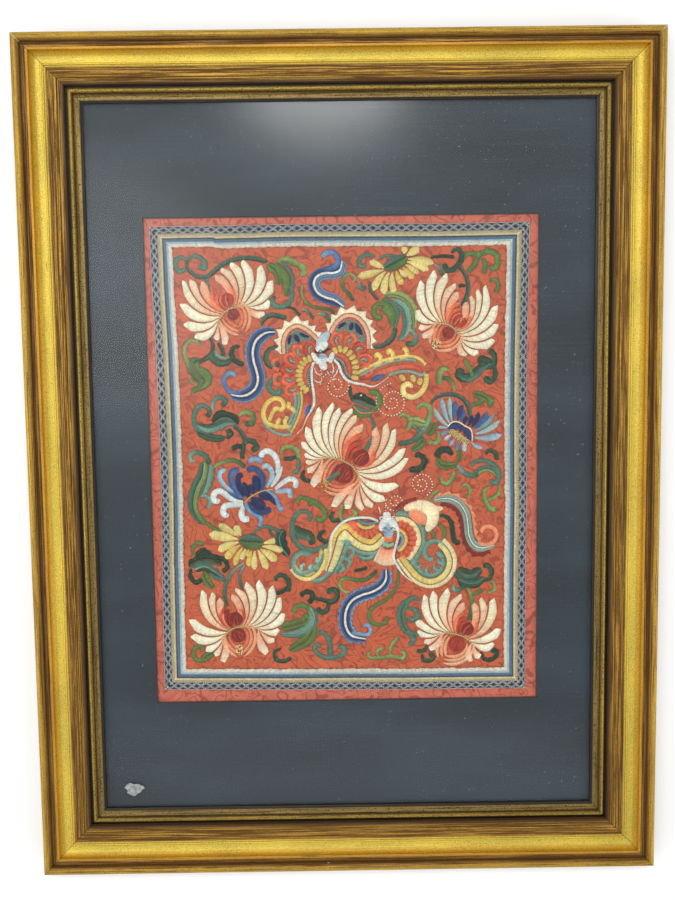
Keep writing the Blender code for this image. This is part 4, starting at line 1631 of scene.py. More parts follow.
def lower_butterfly(work: Needlework) -> None:
    """The lower butterfly's wings, whose bands follow one another in waves."""
    gold, aqua = (Thread.OCHRE, Thread.YELLOW), (Thread.AQUA, Thread.TEAL)
    ember = (Thread.ORANGE, Thread.CORAL)
    wave = Path.through((-17, -99), (-12.5, -87), (-9.5, -76), (-6, -66), (0.5, -61), (8, -68),
                        (16, -73.5), (25, -75), (34, -67))

    def grow(share: np.ndarray) -> np.ndarray:
        """How wide the waves are."""
        return np.interp(np.clip(share, 0, 1), [0, 0.35, 0.6, 1], [3.6, 5.2, 4.6, 3.4])

    work.rows(wave, [lambda t: 1.3 * grow(t) + 0.5, 0.0, lambda t: -1.6 * grow(t),
                     scallops(lambda t: -2.9 * grow(t), 9, 1.2)], [gold, Thread.STRAW, aqua],
              slant=0.01)
    for points in (((2, -76), (7, -80), (6, -85), (2, -87.5)),
                   ((-5, -86), (0, -88), (4, -91), (1, -96)),
                   ((-11, -93), (-5, -92), (-2, -97), (-6, -100)),
                   ((12, -85), (17, -88), (24, -87), (29, -81))):
        scroll(work, points, 4.4, aqua, thin=0.9)
    scale = Path.through((3, -57), (8, -62), (15, -65), (23, -65.5), (29, -62), (31, -57))
    studs(work, scale, 8, 7.8, 5.4, ember, bed=0.15)
    scroll(work, ((3, -53.5), (9, -56), (12, -60)), 7.0, ember, thin=0.8)
    work.band(Path.through((11, -55), (16, -59), (22, -59.5), (27, -57)), 1.8, -1.6, gold, bed=0.3)
    work.band(Path.through((12, -52.5), (18, -55), (24, -55.5), (29, -54.5)), 1.6, -1.8,
              (Thread.TEAL, Thread.SKY), bed=0.35)
    work.dotted(Path.through((3, -53), (12, -51.5), (20, -52), (28, -55)), Thread.BLACK, 1.7, 0.5,
                bed=0.6)
    curl = Path.through((-18.5, -78), (-20, -90), (-25, -100), (-34, -105.5), (-43, -103),
                        (-49, -96))
    work.rows(curl, [3.0, -1.4, -5.4], [(Thread.STRAW, Thread.YELLOW),
                                        (Thread.YELLOW, Thread.OCHRE)])
    work.band(Path.through((-30, -108.5), (-22, -107), (-15, -101), (-11, -95)), 2.8, -2.8, aqua)
    scroll(work, ((-31, -84), (-38, -81.5), (-45, -84), (-48, -92), (-45, -99), (-38, -101),
                  (-28, -97), (-23, -90),
                  (-19, -82)), 6.4, (Thread.AQUA, Thread.TEAL), thin=0.9)
    for points in (((-40, -98), (-40.5, -94), (-37, -92)), ((-32, -98), (-33, -95), (-30, -93)),
                   ((-23, -93), (-26, -90), (-26, -86))):
        scroll(work, points, 3.8, (Thread.AQUA, Thread.MINT), thin=0.9)

    disc = Path.through((49, -54), (55, -56.5), (60, -61), (62.5, -68), (61, -76), (57.5, -83),
                        (50, -87))
    studs(work, disc, 9, 8.4, 6.2, ember, bed=0.1)
    work.band(disc, -3.2, -9.0, (Thread.RED, Thread.CORAL), bed=0.05)
    work.rows(Path.through((48, -62), (53, -66), (54.5, -72), (51.5, -78), (48, -80)),
              [3.0, -0.4, -3.4],
              [gold, (Thread.AQUA, Thread.SKY)], bed=0.35)
    rim = Path.through((46, -50.5), (55, -51), (63, -56), (67.5, -64), (68.5, -73), (65, -81),
                       (59, -90))
    work.rows(rim, [scallops(6.4, 5, 1.6), 1.4, -4.4], [(Thread.TEAL, Thread.AQUA),
                                                        (Thread.STRAW, Thread.CREAM)], slant=0.01)
    hind = Path.through((87, -73), (94, -81), (97.5, -91), (95, -102), (87, -110), (76, -112.5),
                        (65, -108), (56, -98), (49, -88))
    work.rows(hind, [lambda t: 5.4 - 2.0 * t, 0.4, lambda t: -5.0 - t],
              [(Thread.STRAW, Thread.CREAM), ((Thread.STRAW, Thread.YELLOW),
                                              (Thread.STRAW, Thread.OCHRE))], slant=0.01)
    work.band(hind.part(0.05, 0.96), scallops(-10.4, 16, 1.8), -5.2, aqua, slant=0.01)
    scroll(work, ((90, -80), (86, -73.5), (79, -73), (73.5, -78), (73, -85), (77, -89.5),
                  (80.5, -88)), 5.0,
           (Thread.TEAL, Thread.AQUA), thin=0.9)
    for points in (((90, -86), (86, -86), (84, -82.5)), ((90, -93), (86, -92.5), (85, -88.5)),
                   ((86, -100), (82, -98), (82, -94)),
                   ((77, -104), (74, -100), (76, -96.5)), ((68, -101), (67, -97), (70, -94.5)),
                   ((61, -95), (63, -92), (67, -91))):
        scroll(work, points, 3.8, aqua, thin=0.9)
    scroll(work, ((45, -45), (50, -40.5), (57, -36.5), (66, -34.5)), 5.6,
           (Thread.CRIMSON, Thread.RED), thin=0.6)
    lobe = Path.through((54, -43), (63, -40.5), (73, -41.5), (79, -46), (79, -54), (74, -63))
    work.band(lobe, lambda t: 1.6 + 6.0 * np.sin(np.pi * np.clip(t, 0, 1)) ** 0.5,
              lambda t: -1.2 - 5.6 * np.sin(np.pi * np.clip(t, 0, 1)) ** 0.6, Thread.CREAM,
              slant=0.01)
    lens(work, (80, -42), (89.5, -42.5), 6.4, (Thread.BLUSH, Thread.CREAM), -10)
    lens(work, (58, -44.5), (72.5, -57.5), 15.0, (Thread.PEACH, Thread.CORAL), 26, bed=0.12)


def lower_body(work: Needlework) -> None:
    """The lower butterfly's head, thorax, banded belly and long white edges."""
    for start, end, width, tint in (
            ((38, -45), (38.5, -53), 8.4, Thread.WHITE), ((38, -50), (32, -62), 8.6, Thread.WHITE),
            ((39, -50), (48, -62), 8.6, Thread.WHITE), ((39.5, -53), (39.5, -69.5), 11.4,
                                                        (Thread.ICE, Thread.SKY))):
        lens(work, start, end, width, tint, peak=0.45, fullness=0.34, bed=0.35)
    work.band(Path.through((34, -60.5), (37, -59.6), (40, -62.4), (43, -59.4), (46, -61)), 0.8,
              -0.8,
              Thread.BLACK, bed=0.7)
    belly = Path.through((40, -65), (39, -74), (37, -84), (35.5, -93))

    def across(share: np.ndarray, along: float, sag: float) -> np.ndarray:
        """A line across the belly, sagging in its middle."""
        share = np.asarray(share, float)
        girth = np.interp(along, [0, 0.3, 0.6, 1.0], [3.0, 5.6, 6.6, 10.8])
        line = belly.beside(np.full(share.shape, along), (share * 2 - 1) * girth)
        return line + (sag * np.sin(np.pi * share))[..., None] * np.array([-0.14, -1.0])

    for start, end, head, hem, slack in ((0.0, 0.24, Thread.CORAL, Thread.CORAL, (0.0, 1.8)),
                                         (0.25, 0.38, Thread.MINT, Thread.LIME, (1.8, 2.6)),
                                         (0.39, 1.0, Thread.CORAL, Thread.CREAM, (2.6, 3.0))):
        work.satin(lambda t: across(t, start, slack[0]), lambda t: across(t, end, slack[1]),
                   (head, hem), bed=0.1)
    for x, y in ((33.3, -50.8), (44.6, -50.2)):
        work.beads(np.array([[x, y]]), Thread.WHITE, 1.9, bed=0.3)
        work.beads(np.array([[x, y]]), Thread.BLACK, 1.0, bed=1.9)
    lens(work, (31, -40), (32.5, -46.5), 1.6, (Thread.WHITE, Thread.BLUSH))
    for points in (((31, -54), (25, -51), (18, -50), (9, -50.5), (1, -52.5), (-6, -57.5),
                    (-11, -64), (-13.3, -72), (-13.5, -82),
                    (-15.5, -91), (-18, -99)),
                   ((48, -60), (48.5, -68), (46, -77), (44, -87), (47, -94), (53, -103),
                    (61, -110))):
        work.cover(Path.through(*points), dwindling(1.3, 0.3, 0.4), Thread.WHITE, bed=0.5,
                   slant=0.02)
    work.dotted(Path.through((49.8, -63), (50, -70), (47.5, -78), (45.8, -86)), Thread.BLACK, 1.8,
                0.5, bed=0.5)


def butterflies() -> Needlework:
    """The two butterflies, their long tails and the dotted spirals beside them."""
    work = Needlework(seed=13)
    deep, mid = (Thread.NAVY, Thread.ROYAL), (Thread.ROYAL, Thread.BLUE)
    light, edge = (Thread.BLUE, Thread.SKY), Thread.SKY
    streamer(work, ((0.5, 181), (-1.5, 173), (-7, 170.3), (-15, 170.2), (-22, 167.5), (-25, 161),
                    (-22, 153.5), (-15, 149),
                    (-7, 146.5), (1.5, 140.5)), 5.6, (light, light), (deep, mid), thin=0.5)
    scroll(work, ((-17, 184), (-14, 188), (-8, 188.5), (-3.5, 184), (-4, 178), (-9, 174.5),
                  (-17, 173.5)), 5.6,
           ((Thread.SKY, Thread.BLUE, Thread.BLUE, Thread.ROYAL),) * 2, thin=1.0)
    streamer(work, ((-60, 119), (-69, 118), (-77, 112), (-80.5, 103), (-80, 93), (-77.5, 84),
                    (-76.5, 76), (-79.5, 68),
                    (-86.5, 63), (-94, 62), (-101, 63.5)), 6.6, (deep, mid, light),
             (deep, mid, light), (5.2, 1.3), thin=0.4)
    scroll(work, ((-92, 65), (-101, 65.5), (-106, 71), (-107.3, 77), (-104, 82), (-99, 82.5),
                  (-97, 79)), 4.6,
           ((Thread.BLUE, Thread.BLUE, Thread.SKY),) * 2, thin=0.9)
    streamer(work, ((37, -98), (37, -107), (32.5, -114), (24, -119), (14, -122), (5.5, -127),
                    (0.5, -135), (-1, -145),
                    (0.5, -153), (5.5, -160), (18, -163)), 6.0, (deep, mid, edge),
             (deep, mid, light), (6.2, 2.6), thin=0.5)
    scroll(work, ((5, -157), (13, -158.5), (20, -159), (22.5, -154.5), (20, -150), (15.5, -150.5)),
           4.2, edge, thin=0.9)
    streamer(work, ((81, -35), (90, -33.5), (98, -34.5), (105, -39), (110, -47), (112, -57),
                    (113, -67), (117, -76),
                    (125, -79.5), (136, -77)), 4.0, ((Thread.SAGE, Thread.AQUA),), (Thread.SAGE,),
             core=1.5)
    tail = Path.through((82, -33), (91, -30.5), (100, -31.5), (108, -37), (114.5, -46),
                        (116.5, -57), (118, -67), (122, -74.5))
    work.band(tail, -0.4, teeth(1.6, 9, 2.6, 0.9), (Thread.CORAL, Thread.PEACH))
    under = Path.through((88, -37), (97, -39.5), (104, -46), (107.5, -56), (108.5, -67), (113, -79),
                         (121, -84.5), (132, -82))
    work.band(under, 0.6, scallops(-3.4, 11, 1.8), Thread.CRIMSON)
    scroll(work, ((121, -74), (129, -76.5), (136.5, -73), (138, -65.5), (133.5, -60.5),
                  (127, -60.5), (124, -65.5)), 4.6,
           (Thread.CORAL, Thread.PEACH), thin=0.9)
    upper_wings(work)
    upper_hindwings(work)
    upper_body(work)
    lower_butterfly(work)
    lower_body(work)
    spin = np.linspace(0, 1, 300)
    for centre, start, outer, inner, turns in (
            ((-6, 70), 165, 15.0, 2.0, -1.9), ((44, 55), 95, 16.5, 2.0, 2.2),
            ((69.5, -20), -60, 11.5, 2.0, 1.9), ((46, -36), 200, 9.0, 1.8, 1.6)):
        angle = np.radians(start + 360 * turns * spin)
        reach = outer + (inner - outer) * spin**0.85
        spiral = centre + np.column_stack([reach * np.cos(angle), reach * np.sin(angle)])
        work.dotted(Path(spiral), (Thread.WHITE, Thread.IVORY), 2.6, 0.74)
    for points in (((-20, 84), (-19, 76), (-20.5, 72)), ((-14, 83), (-11, 78), (-8, 76)),
                   ((37, -44), (37, -38), (38, -34))):
        work.dotted(Path.through(*points), Thread.WHITE, 2.3, 0.6)
    return work


# ---------------------------------------------------------------- scrolling stems and leaves


def leaf(work: Needlework, points: Sequence[tuple], left: float, right: float,
         tints: Sequence[Tint],
         bites: tuple[float, float] = (0.0, 0.0), vein: Tint = (), **options) -> None:
    """A broad leaf along a line: one thread to each side of its vein, its left edge bitten.

    Args:
        work: where the stitches go.
        points: the vein.
        left, right: about how wide it grows to each side.
        tints: the threads of its left and right half.
        bites: how many bites its left edge has, and how deep they are; none for shallow ones
            along all of it.
        vein: the thread of a line laid over the vein.
        options: as for Needlework.satin.
    """
    path = Path.through(*points)
    form = swell(1.0, 0.5, 0.45, 0.25)
    edge = scaled(form, 1.28 * left)
    outer = scallops(edge, *(bites if bites[0] else (max(2, round(path.length / 5.5)), 0.8)), 0.5)
    inner = scallops(scaled(form, -1.28 * right), max(2, round(path.length / 6.5)), -0.7, 0.5)
    work.band(path, 0.0, lambda t: np.maximum(outer(t), 0.3), tints[0], fray=0.15, **options)
    work.band(path, 0.0, lambda t: np.minimum(inner(t), -0.3), tints[1], fray=0.15, **options)
    if vein:
        work.stem(path, vein, width=1.3, reach=4.0, bed=0.4)


def leaves() -> Needlework:
    """The green scrolls, tendrils and leaves that fill the ground between the flowers."""
    work = Needlework(seed=21)
    teal, pine, moss = Thread.TEAL, (Thread.PINE, Thread.FOREST), Thread.MOSS
    lime, aqua, forest = (Thread.LIME, Thread.MOSS), (Thread.AQUA, Thread.TEAL), Thread.FOREST
    shade, young = (Thread.TEAL, Thread.FOREST), ((Thread.LIME, Thread.MOSS, Thread.PINE),) * 2
    fade = ((Thread.AQUA, Thread.TEAL, Thread.PINE),) * 2

    # broad leaves
    leaf(work, ((-130, 96), (-134, 90), (-130, 82), (-124, 76), (-130, 69)), 4.5, 5,
         (moss, (Thread.MOSS, Thread.PINE)), (3, 1.2))
    leaf(work, ((-116, 103), (-114, 97), (-107, 94), (-100, 96)), 3.0, 5.0,
         ((Thread.TEAL, Thread.AQUA), Thread.PINE))
    leaf(work, ((-58, 180), (-51, 176), (-46, 168), (-46, 158), (-50, 150)), 2.8, 6.4,
         (teal, Thread.MOSS))
    leaf(work, ((-66, 178), (-61, 175), (-57, 169), (-56, 160)), 3.2, 2.8, (moss, moss))
    leaf(work, ((36, 147), (44, 143), (49, 134), (47, 121)), 2.0, 8.2, (teal, moss), vein=teal)
    leaf(work, ((38, 150), (49, 150), (59, 144), (64, 133), (64, 120)), 3.6, 2.4,
         (Thread.LIME, lime))
    leaf(work, ((46, 146), (55, 139), (58, 129), (57, 118), (50, 110)), 3.2, 3.6,
         (Thread.AQUA, teal), vein=aqua)
    leaf(work, ((-118, 38), (-109, 43), (-101, 41), (-95, 36)), 5.0, 2.0, (forest, teal), (2, 1.6))
    leaf(work, ((-132, 36), (-124, 32.5), (-115, 34), (-106, 38), (-97, 37)), 3.6, 3.2,
         (shade, aqua), vein=aqua)
    leaf(work, ((-132, 31), (-124, 27), (-114, 24.5), (-107, 25)), 2.4, 3.6, (shade, Thread.PINE),
         (2, 1.0))
    leaf(work, ((8, 58), (15, 57), (22, 53.5), (29, 51)), 5.0, 3.0, (forest, teal), (2, 1.4))
    leaf(work, ((9, 52), (14, 46), (20, 45), (27, 46)), 3.6, 3.6, (teal, moss), vein=Thread.CORAL)
    leaf(work, ((109, 93), (114, 83), (117, 76)), 1.6, 1.6, (lime, lime), bed=0.3)
    leaf(work, ((104, 80), (110, 75.5), (117, 77.5), (124, 84), (133, 88)), 3.4, 3.4, (pine, teal),
         vein=(Thread.PINE, Thread.TEAL))
    leaf(work, ((121, 92), (128, 90), (135, 84)), 3.8, 3.6, (pine, (Thread.FOREST, Thread.PINE)))
    leaf(work, ((58, 37), (65, 37.5), (72, 35), (78, 37)), 3.2, 3.6, (Thread.LIME, lime))
    leaf(work, ((82, 36), (79, 29), (75, 24)), 3.0, 2.6, (moss, moss))
    leaf(work, ((73, 22), (68, 16), (61, 11)), 3.6, 2.6, (moss, moss))
    leaf(work, ((117, 61), (123, 60), (130, 56), (135, 52)), 3.0, 3.2, (moss, moss))
    leaf(work, ((84, 3), (88, -3), (95, -4), (103, -3)), 3.2, 2.6, (moss, moss))
    leaf(work, ((102, 13), (105, 7), (103, -1)), 1.8, 1.8, (moss, moss))
    leaf(work, ((118, -12), (126, -7), (134, -8), (139, -14)), 2.6, 2.4, (teal, lime))
    leaf(work, ((-126, 3), (-128, -10), (-134, -22), (-137, -36), (-134, -46), (-128, -54)), 3.0,
         5.0,
         ((Thread.LIME, Thread.MOSS), (Thread.PINE, Thread.TEAL)), vein=(Thread.LIME, Thread.MOSS))
    leaf(work, ((-122, 1), (-124, -10), (-127, -21), (-131, -29)), 5.0, 1.6, (aqua, teal), (6, 1.2))
    leaf(work, ((-56, -60), (-60, -67), (-58, -76), (-52, -85)), 5.0, 3.4,
         (forest, (Thread.FOREST, Thread.PINE)), (3, 1.4),
         vein=teal)
    leaf(work, ((-47, -58), (-40, -63), (-32, -66), (-30, -72)), 3.4, 4.8,
         ((Thread.PINE, Thread.FOREST), (Thread.PINE, Thread.TEAL)))
    leaf(work, ((-143, -93), (-135, -88), (-124, -87), (-113, -92)), 4.0, 3.6,
         (forest, (Thread.PINE, Thread.TEAL)), (5, 1.6))
    leaf(work, ((-138, -96), (-129, -93), (-121, -97), (-112, -104)), 2.4, 3.6, (teal, pine),
         vein=aqua)
    leaf(work, ((-130, -99), (-127, -107), (-121, -114)), 3.4, 2.8, (moss, moss))
    leaf(work, ((-33, -132), (-29, -142), (-33, -152), (-45, -158), (-60, -158)), 3.0, 4.6,
         (teal, aqua), vein=aqua)
    leaf(work, ((-30, -148), (-34, -161), (-44, -168), (-53, -173)), 4.6, 4.2, (moss, moss))
    leaf(work, ((-60, -152), (-49, -149.5), (-38, -146), (-33, -139)), 4.2, 3.0, (moss, moss),
         (3, 1.8))
    leaf(work, ((56, -127), (51, -138), (52, -149), (58, -160)), 3.0, 3.6, (teal, teal), (3, 1.4))
    leaf(work, ((103, -98), (110, -103), (117, -103), (124, -98)), 3.4, 5.2,
         (pine, (Thread.TEAL, Thread.FOREST)), (2, 1.2))
    leaf(work, ((103, -108), (111, -112), (120, -112), (127, -107)), 3.2, 3.8, (shade, pine),
         vein=teal)
    leaf(work, ((-136, -84), (-130, -79), (-122, -82)), 2.4, 2.4, (forest, forest))

    for tint, width, points in (
            # upper left
            (teal, 4.0, ((-137, 183), (-143, 186), (-148, 181), (-145, 173.5), (-139, 175))),
            (teal, 4.0, ((-137, 183), (-130, 187), (-122, 182), (-122, 176), (-128, 178))),
            (shade, 4.0, ((-137, 184), (-137, 176), (-130, 169.5), (-122, 168), (-115, 172),
                          (-106, 179), (-96, 183), (-82, 184.5), (-66, 181))),
            (teal, 2.4, ((-117, 171), (-120, 165), (-119, 159))),
            (teal, 4.2, ((-46, 160), (-44, 152), (-47, 145), (-54, 141), (-61, 143), (-63, 150))),
            (fade, 3.2, ((-50, 143), (-57, 141), (-63, 145), (-60, 151))),
            (lime, 5.4, ((-57, 181), (-49, 183), (-41, 179), (-35, 176), (-34, 171), (-37, 171))),
            (moss, 3.2, ((-66, 179), (-64, 174), (-60, 172))),
            (lime, 3.8, ((-127, 107), (-131, 112), (-137, 112), (-142, 106), (-142, 98),
                         (-138.5, 90), (-136, 82))),
            (pine, 3.6, ((-119, 115), (-116, 107), (-119, 99), (-127, 94), (-135, 93))),
            (pine, 3.4, ((-112, 110), (-108, 104), (-107, 98))),
            (moss, 4.6, ((-131, 87), (-125, 86), (-120.5, 81), (-121, 74), (-128, 70),
                         (-137, 66.5))),
            (lime, 2.2, ((-138, 79), (-136, 75), (-133, 72))),
            (forest, 4.2, ((-92, 106), (-97, 106), (-100, 100), (-97, 94), (-89, 89.5))),
            (shade, 4.2, ((-59, 106), (-66, 103), (-69, 97), (-68, 91), (-63, 88), (-57, 91))),
            (shade, 4.0, ((-73, 125), (-69, 131), (-62, 134), (-50, 131))),
            (teal, 4.2, ((-58, 78), (-64, 76), (-67, 70), (-64, 65), (-58, 64), (-56, 69))),
            # top middle
            (young, 2.6, ((-35, 160), (-36, 153), (-33, 146), (-27, 141), (-18, 139), (-11, 138),
                          (-7, 134))),
            (young, 2.8, ((9, 162), (12, 165), (9, 169), (4, 168.5), (0.5, 163), (1, 157), (6, 152),
                          (10, 145))),
            (fade, 2.8, ((15, 163), (16, 157.5), (19, 155.5), (21, 158.5))),
            (shade, 2.0, ((25, 163), (25, 155), (32, 146))),
            (teal, 3.6, ((30, 184), (23, 186), (16.5, 183), (15.5, 177.5), (18, 175.5), (22, 177))),
            (teal, 2.6, ((33, 182), (40, 185), (48, 184.5))),
            (pine, 2.2, ((-50, 141), (-43, 139), (-38, 133))),
            (fade, 2.4, ((-36, 139), (-31, 137), (-26, 130))),
            (fade, 3.2, ((-22, 135), (-16, 134), (-11, 127.5))),
            (moss, 4.6, ((38, 144), (30, 141), (28, 134), (32, 130), (35, 133))),
            (moss, 3.0, ((33, 138), (37, 137), (40, 133))),
            (shade, 4.0, ((26, 104), (34, 105), (42, 109), (46, 115), (47, 121))),
            (fade, 4.2, ((60, 120), (65, 115), (65.5, 108.5), (60.5, 106), (57.5, 109))),
            # upper right
            (forest, 3.0, ((79, 183), (90, 184), (100, 183))),
            (pine, 4.4, ((97, 187), (103, 190), (107, 185), (105, 178), (99, 172), (93, 172),
                         (91.5, 177.5))),
            (shade, 3.6, ((103, 176), (109, 169), (112, 161), (112, 151), (107, 139))),
            (forest, 3.0, ((110, 157), (107, 158), (104, 157))),
            (moss, 5.0, ((109, 182), (113, 186), (122, 185), (131, 188), (138, 184), (139, 177),
                         (136, 172.5), (132, 175))),
            (moss, 4.4, ((122, 185), (119, 177), (112, 170))),
            (moss, 4.2, ((125, 182), (128, 176), (126, 168))),
            (moss, 3.4, ((131, 161), (136, 163), (139.5, 159), (138, 151))),
            (fade, 2.8, ((83, 177), (87, 173), (90, 167))),
            (pine, 3.8, ((109, 80), (105, 83), (102.5, 79), (105, 75), (112, 73))),
            (pine, 4.6, ((127, 84), (135, 87), (136, 95), (132, 101))),
            (pine, 4.4, ((135, 88), (137, 79), (134, 72.5), (129, 73), (130, 77))),
            (young, 3.4, ((100, 64), (99, 70), (95, 75), (89, 76))),
            (lime, 5.2, ((95, 82.5), (91, 84.5), (87, 81), (86, 70))),
            (shade, 3.4, ((78, 53), (84, 58.5), (92, 61), (101, 60.5), (109, 55.5), (113, 48),
                          (114, 41))),
            (moss, 3.8, ((128, 57), (122, 53), (115, 51))),
            (moss, 4.2, ((130, 57), (134, 54), (131, 49))),
            # left middle
            (teal, 4.2, ((-120, 45), (-122, 51), (-128, 54), (-134, 48), (-134.5, 38), (-131, 30))),
            (fade, 3.8, ((-117, 49), (-118, 55), (-114, 60.5), (-108, 60.5), (-106, 56.5),
                         (-110, 53.5))),
            (pine, 3.6, ((-122, 52), (-121, 47), (-123, 43.5))),
            (shade, 3.8, ((-100, 35), (-94, 31), (-90, 24), (-89, 18))),
            (pine, 4.4, ((-106, 24), (-102, 28), (-105, 32))),
            (young, 4.4, ((-95, 45), (-89, 47.5), (-83, 46), (-81, 41), (-84, 36.5), (-89, 38))),
            (pine, 4.4, ((-92, 17), (-87, 21.5), (-81, 20), (-79, 14.5), (-84, 13))),
            (forest, 4.2, ((-91, 16), (-97, 16.5), (-101, 14))),
            (pine, 3.8, ((-90, 18), (-92, 10), (-92, 5))),
            (fade, 4.2, ((-135, 3), (-139, 5), (-138, 10.5), (-132, 11.5), (-125, 8), (-122, 1))),
            (aqua, 4.0, ((-131, -28), (-125, -29), (-122, -34), (-125, -39))),
            (young, 3.8, ((-118, -2), (-111, 2), (-102, 4), (-94, 1.5), (-90, -3))),
            (moss, 3.4, ((-133, -44), (-128, -51), (-121, -57), (-113, -61))),
            (teal, 2.8, ((-84, -64), (-79, -59), (-71, -57), (-63, -60), (-58, -63))),
            (shade, 2.2, ((-69, -58), (-68, -62), (-66, -66))),
            (lime, 4.0, ((-57, 9), (-55, 14), (-49, 15.5), (-42.5, 12), (-41.5, 5))),
            (pine, 3.6, ((-41, 8), (-47, 5), (-55, 5))),
            (teal, 3.6, ((-42, 6), (-41, -1), (-43, -7), (-47, -7))),
            (forest, 3.4, ((-36, -6), (-38, -11), (-35.5, -15), (-31, -15.5))),
            # centre
            (pine, 3.2, ((6, 70), (6.5, 63), (9, 56))), (moss, 4.6, ((26, 47), (32, 52), (32.5, 60),
                                                                     (28, 64.5), (23.5, 62))),
            (teal, 3.4, ((24, 42), (27.5, 34), (27.5, 26), (24, 18), (19, 12))),
            (lime, 4.2, ((67, 47), (68, 51), (73, 52.5), (77.5, 49), (77, 41), (73, 35))),
            (lime, 4.0, ((50, 41), (54, 43.5), (59, 40), (60, 34), (56, 30))),
            (fade, 4.4, ((79, 41), (74, 32), (67, 23), (58, 18), (49, 17))),
            (teal, 3.0, ((60, 33), (65, 32), (68, 27))),
            (lime, 4.0, ((84, 28), (86, 22.5), (83, 17.5), (77, 19))),
            (forest, 5.2, ((64, 5), (68, 7), (73, 2), (71, -4), (65, -7), (59, -6))),
            (forest, 5.6, ((98, 6), (94, 11), (87, 10), (83.5, 4))),
            (pine, 3.6, ((128, 6), (131, 10), (137, 7.5), (138.5, 1))),
            (fade, 4.4, ((103, -3), (107, -9), (115, -13), (122, -11))),
            (teal, 4.0, ((116, -5), (117, -1), (124, 1), (132, -1), (139, -7), (140.5, -15),
                         (137, -20), (131.5, -17.5))),
            (lime, 4.0, ((87, -13), (89, -19), (94, -20), (98, -15), (101, -9))),
            (lime, 3.0, ((106, -24), (110, -21), (114, -26), (112, -33))),
            (lime, 4.4, ((131, -24), (127, -26), (127, -34), (131, -42), (135, -45), (138, -42))),
            (lime, 3.4, ((141, -22), (140, -29), (136, -33), (130, -35))),
            (lime, 3.0, ((77, -35), (80, -30), (86, -26))),
            (forest, 4.0, ((86, -49), (92, -50), (97, -56), (98, -65), (100, -73), (105, -75))),
            (moss, 3.4, ((84, -57), (89, -60), (91, -66), (89, -70))),
            (moss, 3.0, ((77, -62), (80, -65), (82, -70))),
            # lower left
            (moss, 3.4, ((-139, -83), (-139, -76), (-134, -71), (-129, -73.5))),
            (forest, 3.8, ((-126, -83), (-118, -84), (-110, -88), (-108, -95), (-113, -98))),
            (forest, 3.8, ((-141, -95), (-142, -102), (-137, -108), (-131, -105))),
            (teal, 3.6, ((-124, -99), (-118, -104), (-110, -106))),
            (fade, 3.0, ((-92, -90), (-102, -97), (-109, -108), (-111, -120), (-109, -131))),
            (fade, 2.6, ((-92, -92), (-97, -103), (-95, -115))),
            (moss, 4.6, ((-40, -34), (-43, -34), (-40, -30.5), (-33, -33), (-25, -37), (-18.5, -43),
                         (-18.5, -50), (-24, -52), (-26, -48))),
            (moss, 3.6, ((-33, -39), (-30, -36), (-26, -33))),
            (teal, 4.4, ((-34, -53), (-31, -48), (-35, -44), (-41, -44), (-46, -49), (-48, -58),
                         (-47, -68), (-41, -76), (-31, -79.5), (-22, -78), (-15, -74))),
            (pine, 4.0, ((-33, -68), (-29, -71), (-33, -73))),
            (forest, 3.8, ((-18, -62), (-22.5, -64), (-23, -69), (-16, -73))),
            (pine, 3.8, ((-9, -45), (-12, -47), (-11, -52), (-4, -52))),
            (lime, 3.6, ((-2, -53), (-4, -46), (-1.5, -38))),
            (lime, 3.4, ((0, -50), (7, -50), (10.5, -46), (7, -42))),
            (moss, 3.6, ((-135, -172), (-132, -169), (-138, -168), (-141, -173), (-139, -180),
                         (-131, -181), (-121, -174))),
            (moss, 2.6, ((-133, -181), (-131, -176), (-126, -174))),
            (pine, 4.0, ((-64, -108), (-63, -103.5), (-57, -102.5), (-52, -108), (-53, -118))),
            (forest, 3.4, ((-54, -114), (-59, -118), (-64, -119))),
            (pine, 3.4, ((-60, -171), (-66, -174), (-65, -181), (-58, -183), (-51, -180))),
            (forest, 4.4, ((-40, -123), (-40, -119.5), (-34, -118), (-30, -122), (-34, -129))),
            (pine, 4.2, ((-31, -124), (-22, -125.5), (-13, -128), (-8, -124), (-8.5, -117.5),
                         (-14, -116.5), (-17, -120))),
            (pine, 4.0, ((-16, -128), (-17, -135), (-23, -137.5), (-26, -133))),
            (moss, 4.8, ((-47, -139), (-47, -133), (-40, -130.5), (-33, -135), (-30, -143))),
            (moss, 4.0, ((-40, -140), (-35, -141), (-32, -146))),
            (teal, 4.4, ((-27, -155), (-20, -157.5), (-15.5, -165), (-15, -180))),
            (teal, 4.2, ((-24, -171), (-26, -167), (-29.5, -170), (-27, -176), (-19, -180),
                         (-10, -180), (-3, -177), (-2, -171), (-8, -169.5))),
            # bottom
            (young, 3.4, ((4, -119), (-2, -118), (-5.5, -112), (-2, -106), (6, -107), (14, -108),
                          (21, -106), (29, -99))),
            (moss, 3.4, ((48, -98), (48, -110), (43, -120), (36, -127), (27, -132), (21.5, -138),
                         (22, -145), (29, -150), (36, -148), (38.5, -142))),
            (forest, 3.0, ((8, -99), (15, -98), (20, -96))),
            (lime, 3.6, ((23, -175), (19.5, -177), (22, -181), (32, -181), (42, -180), (52, -182),
                         (54, -177), (50, -174.5))),
            (lime, 3.4, ((29, -180), (29, -174), (34, -172.5))),
            (lime, 3.4, ((41, -180), (41, -171), (48, -162))),
            (teal, 4.2, ((67, -128), (63, -125), (57, -128), (54, -136))),
            (teal, 4.4, ((57, -134), (64, -137), (66, -143), (61, -146), (58, -143))),
            (teal, 4.2, ((54, -156), (60, -158), (66, -159))),
            (teal, 4.4, ((57, -158), (62, -164), (58, -170))),
            (pine, 3.4, ((75, -170), (71, -175), (65, -175))),
            (pine, 3.6, ((70, -178), (71, -184), (78, -184), (80, -180), (76, -178))),
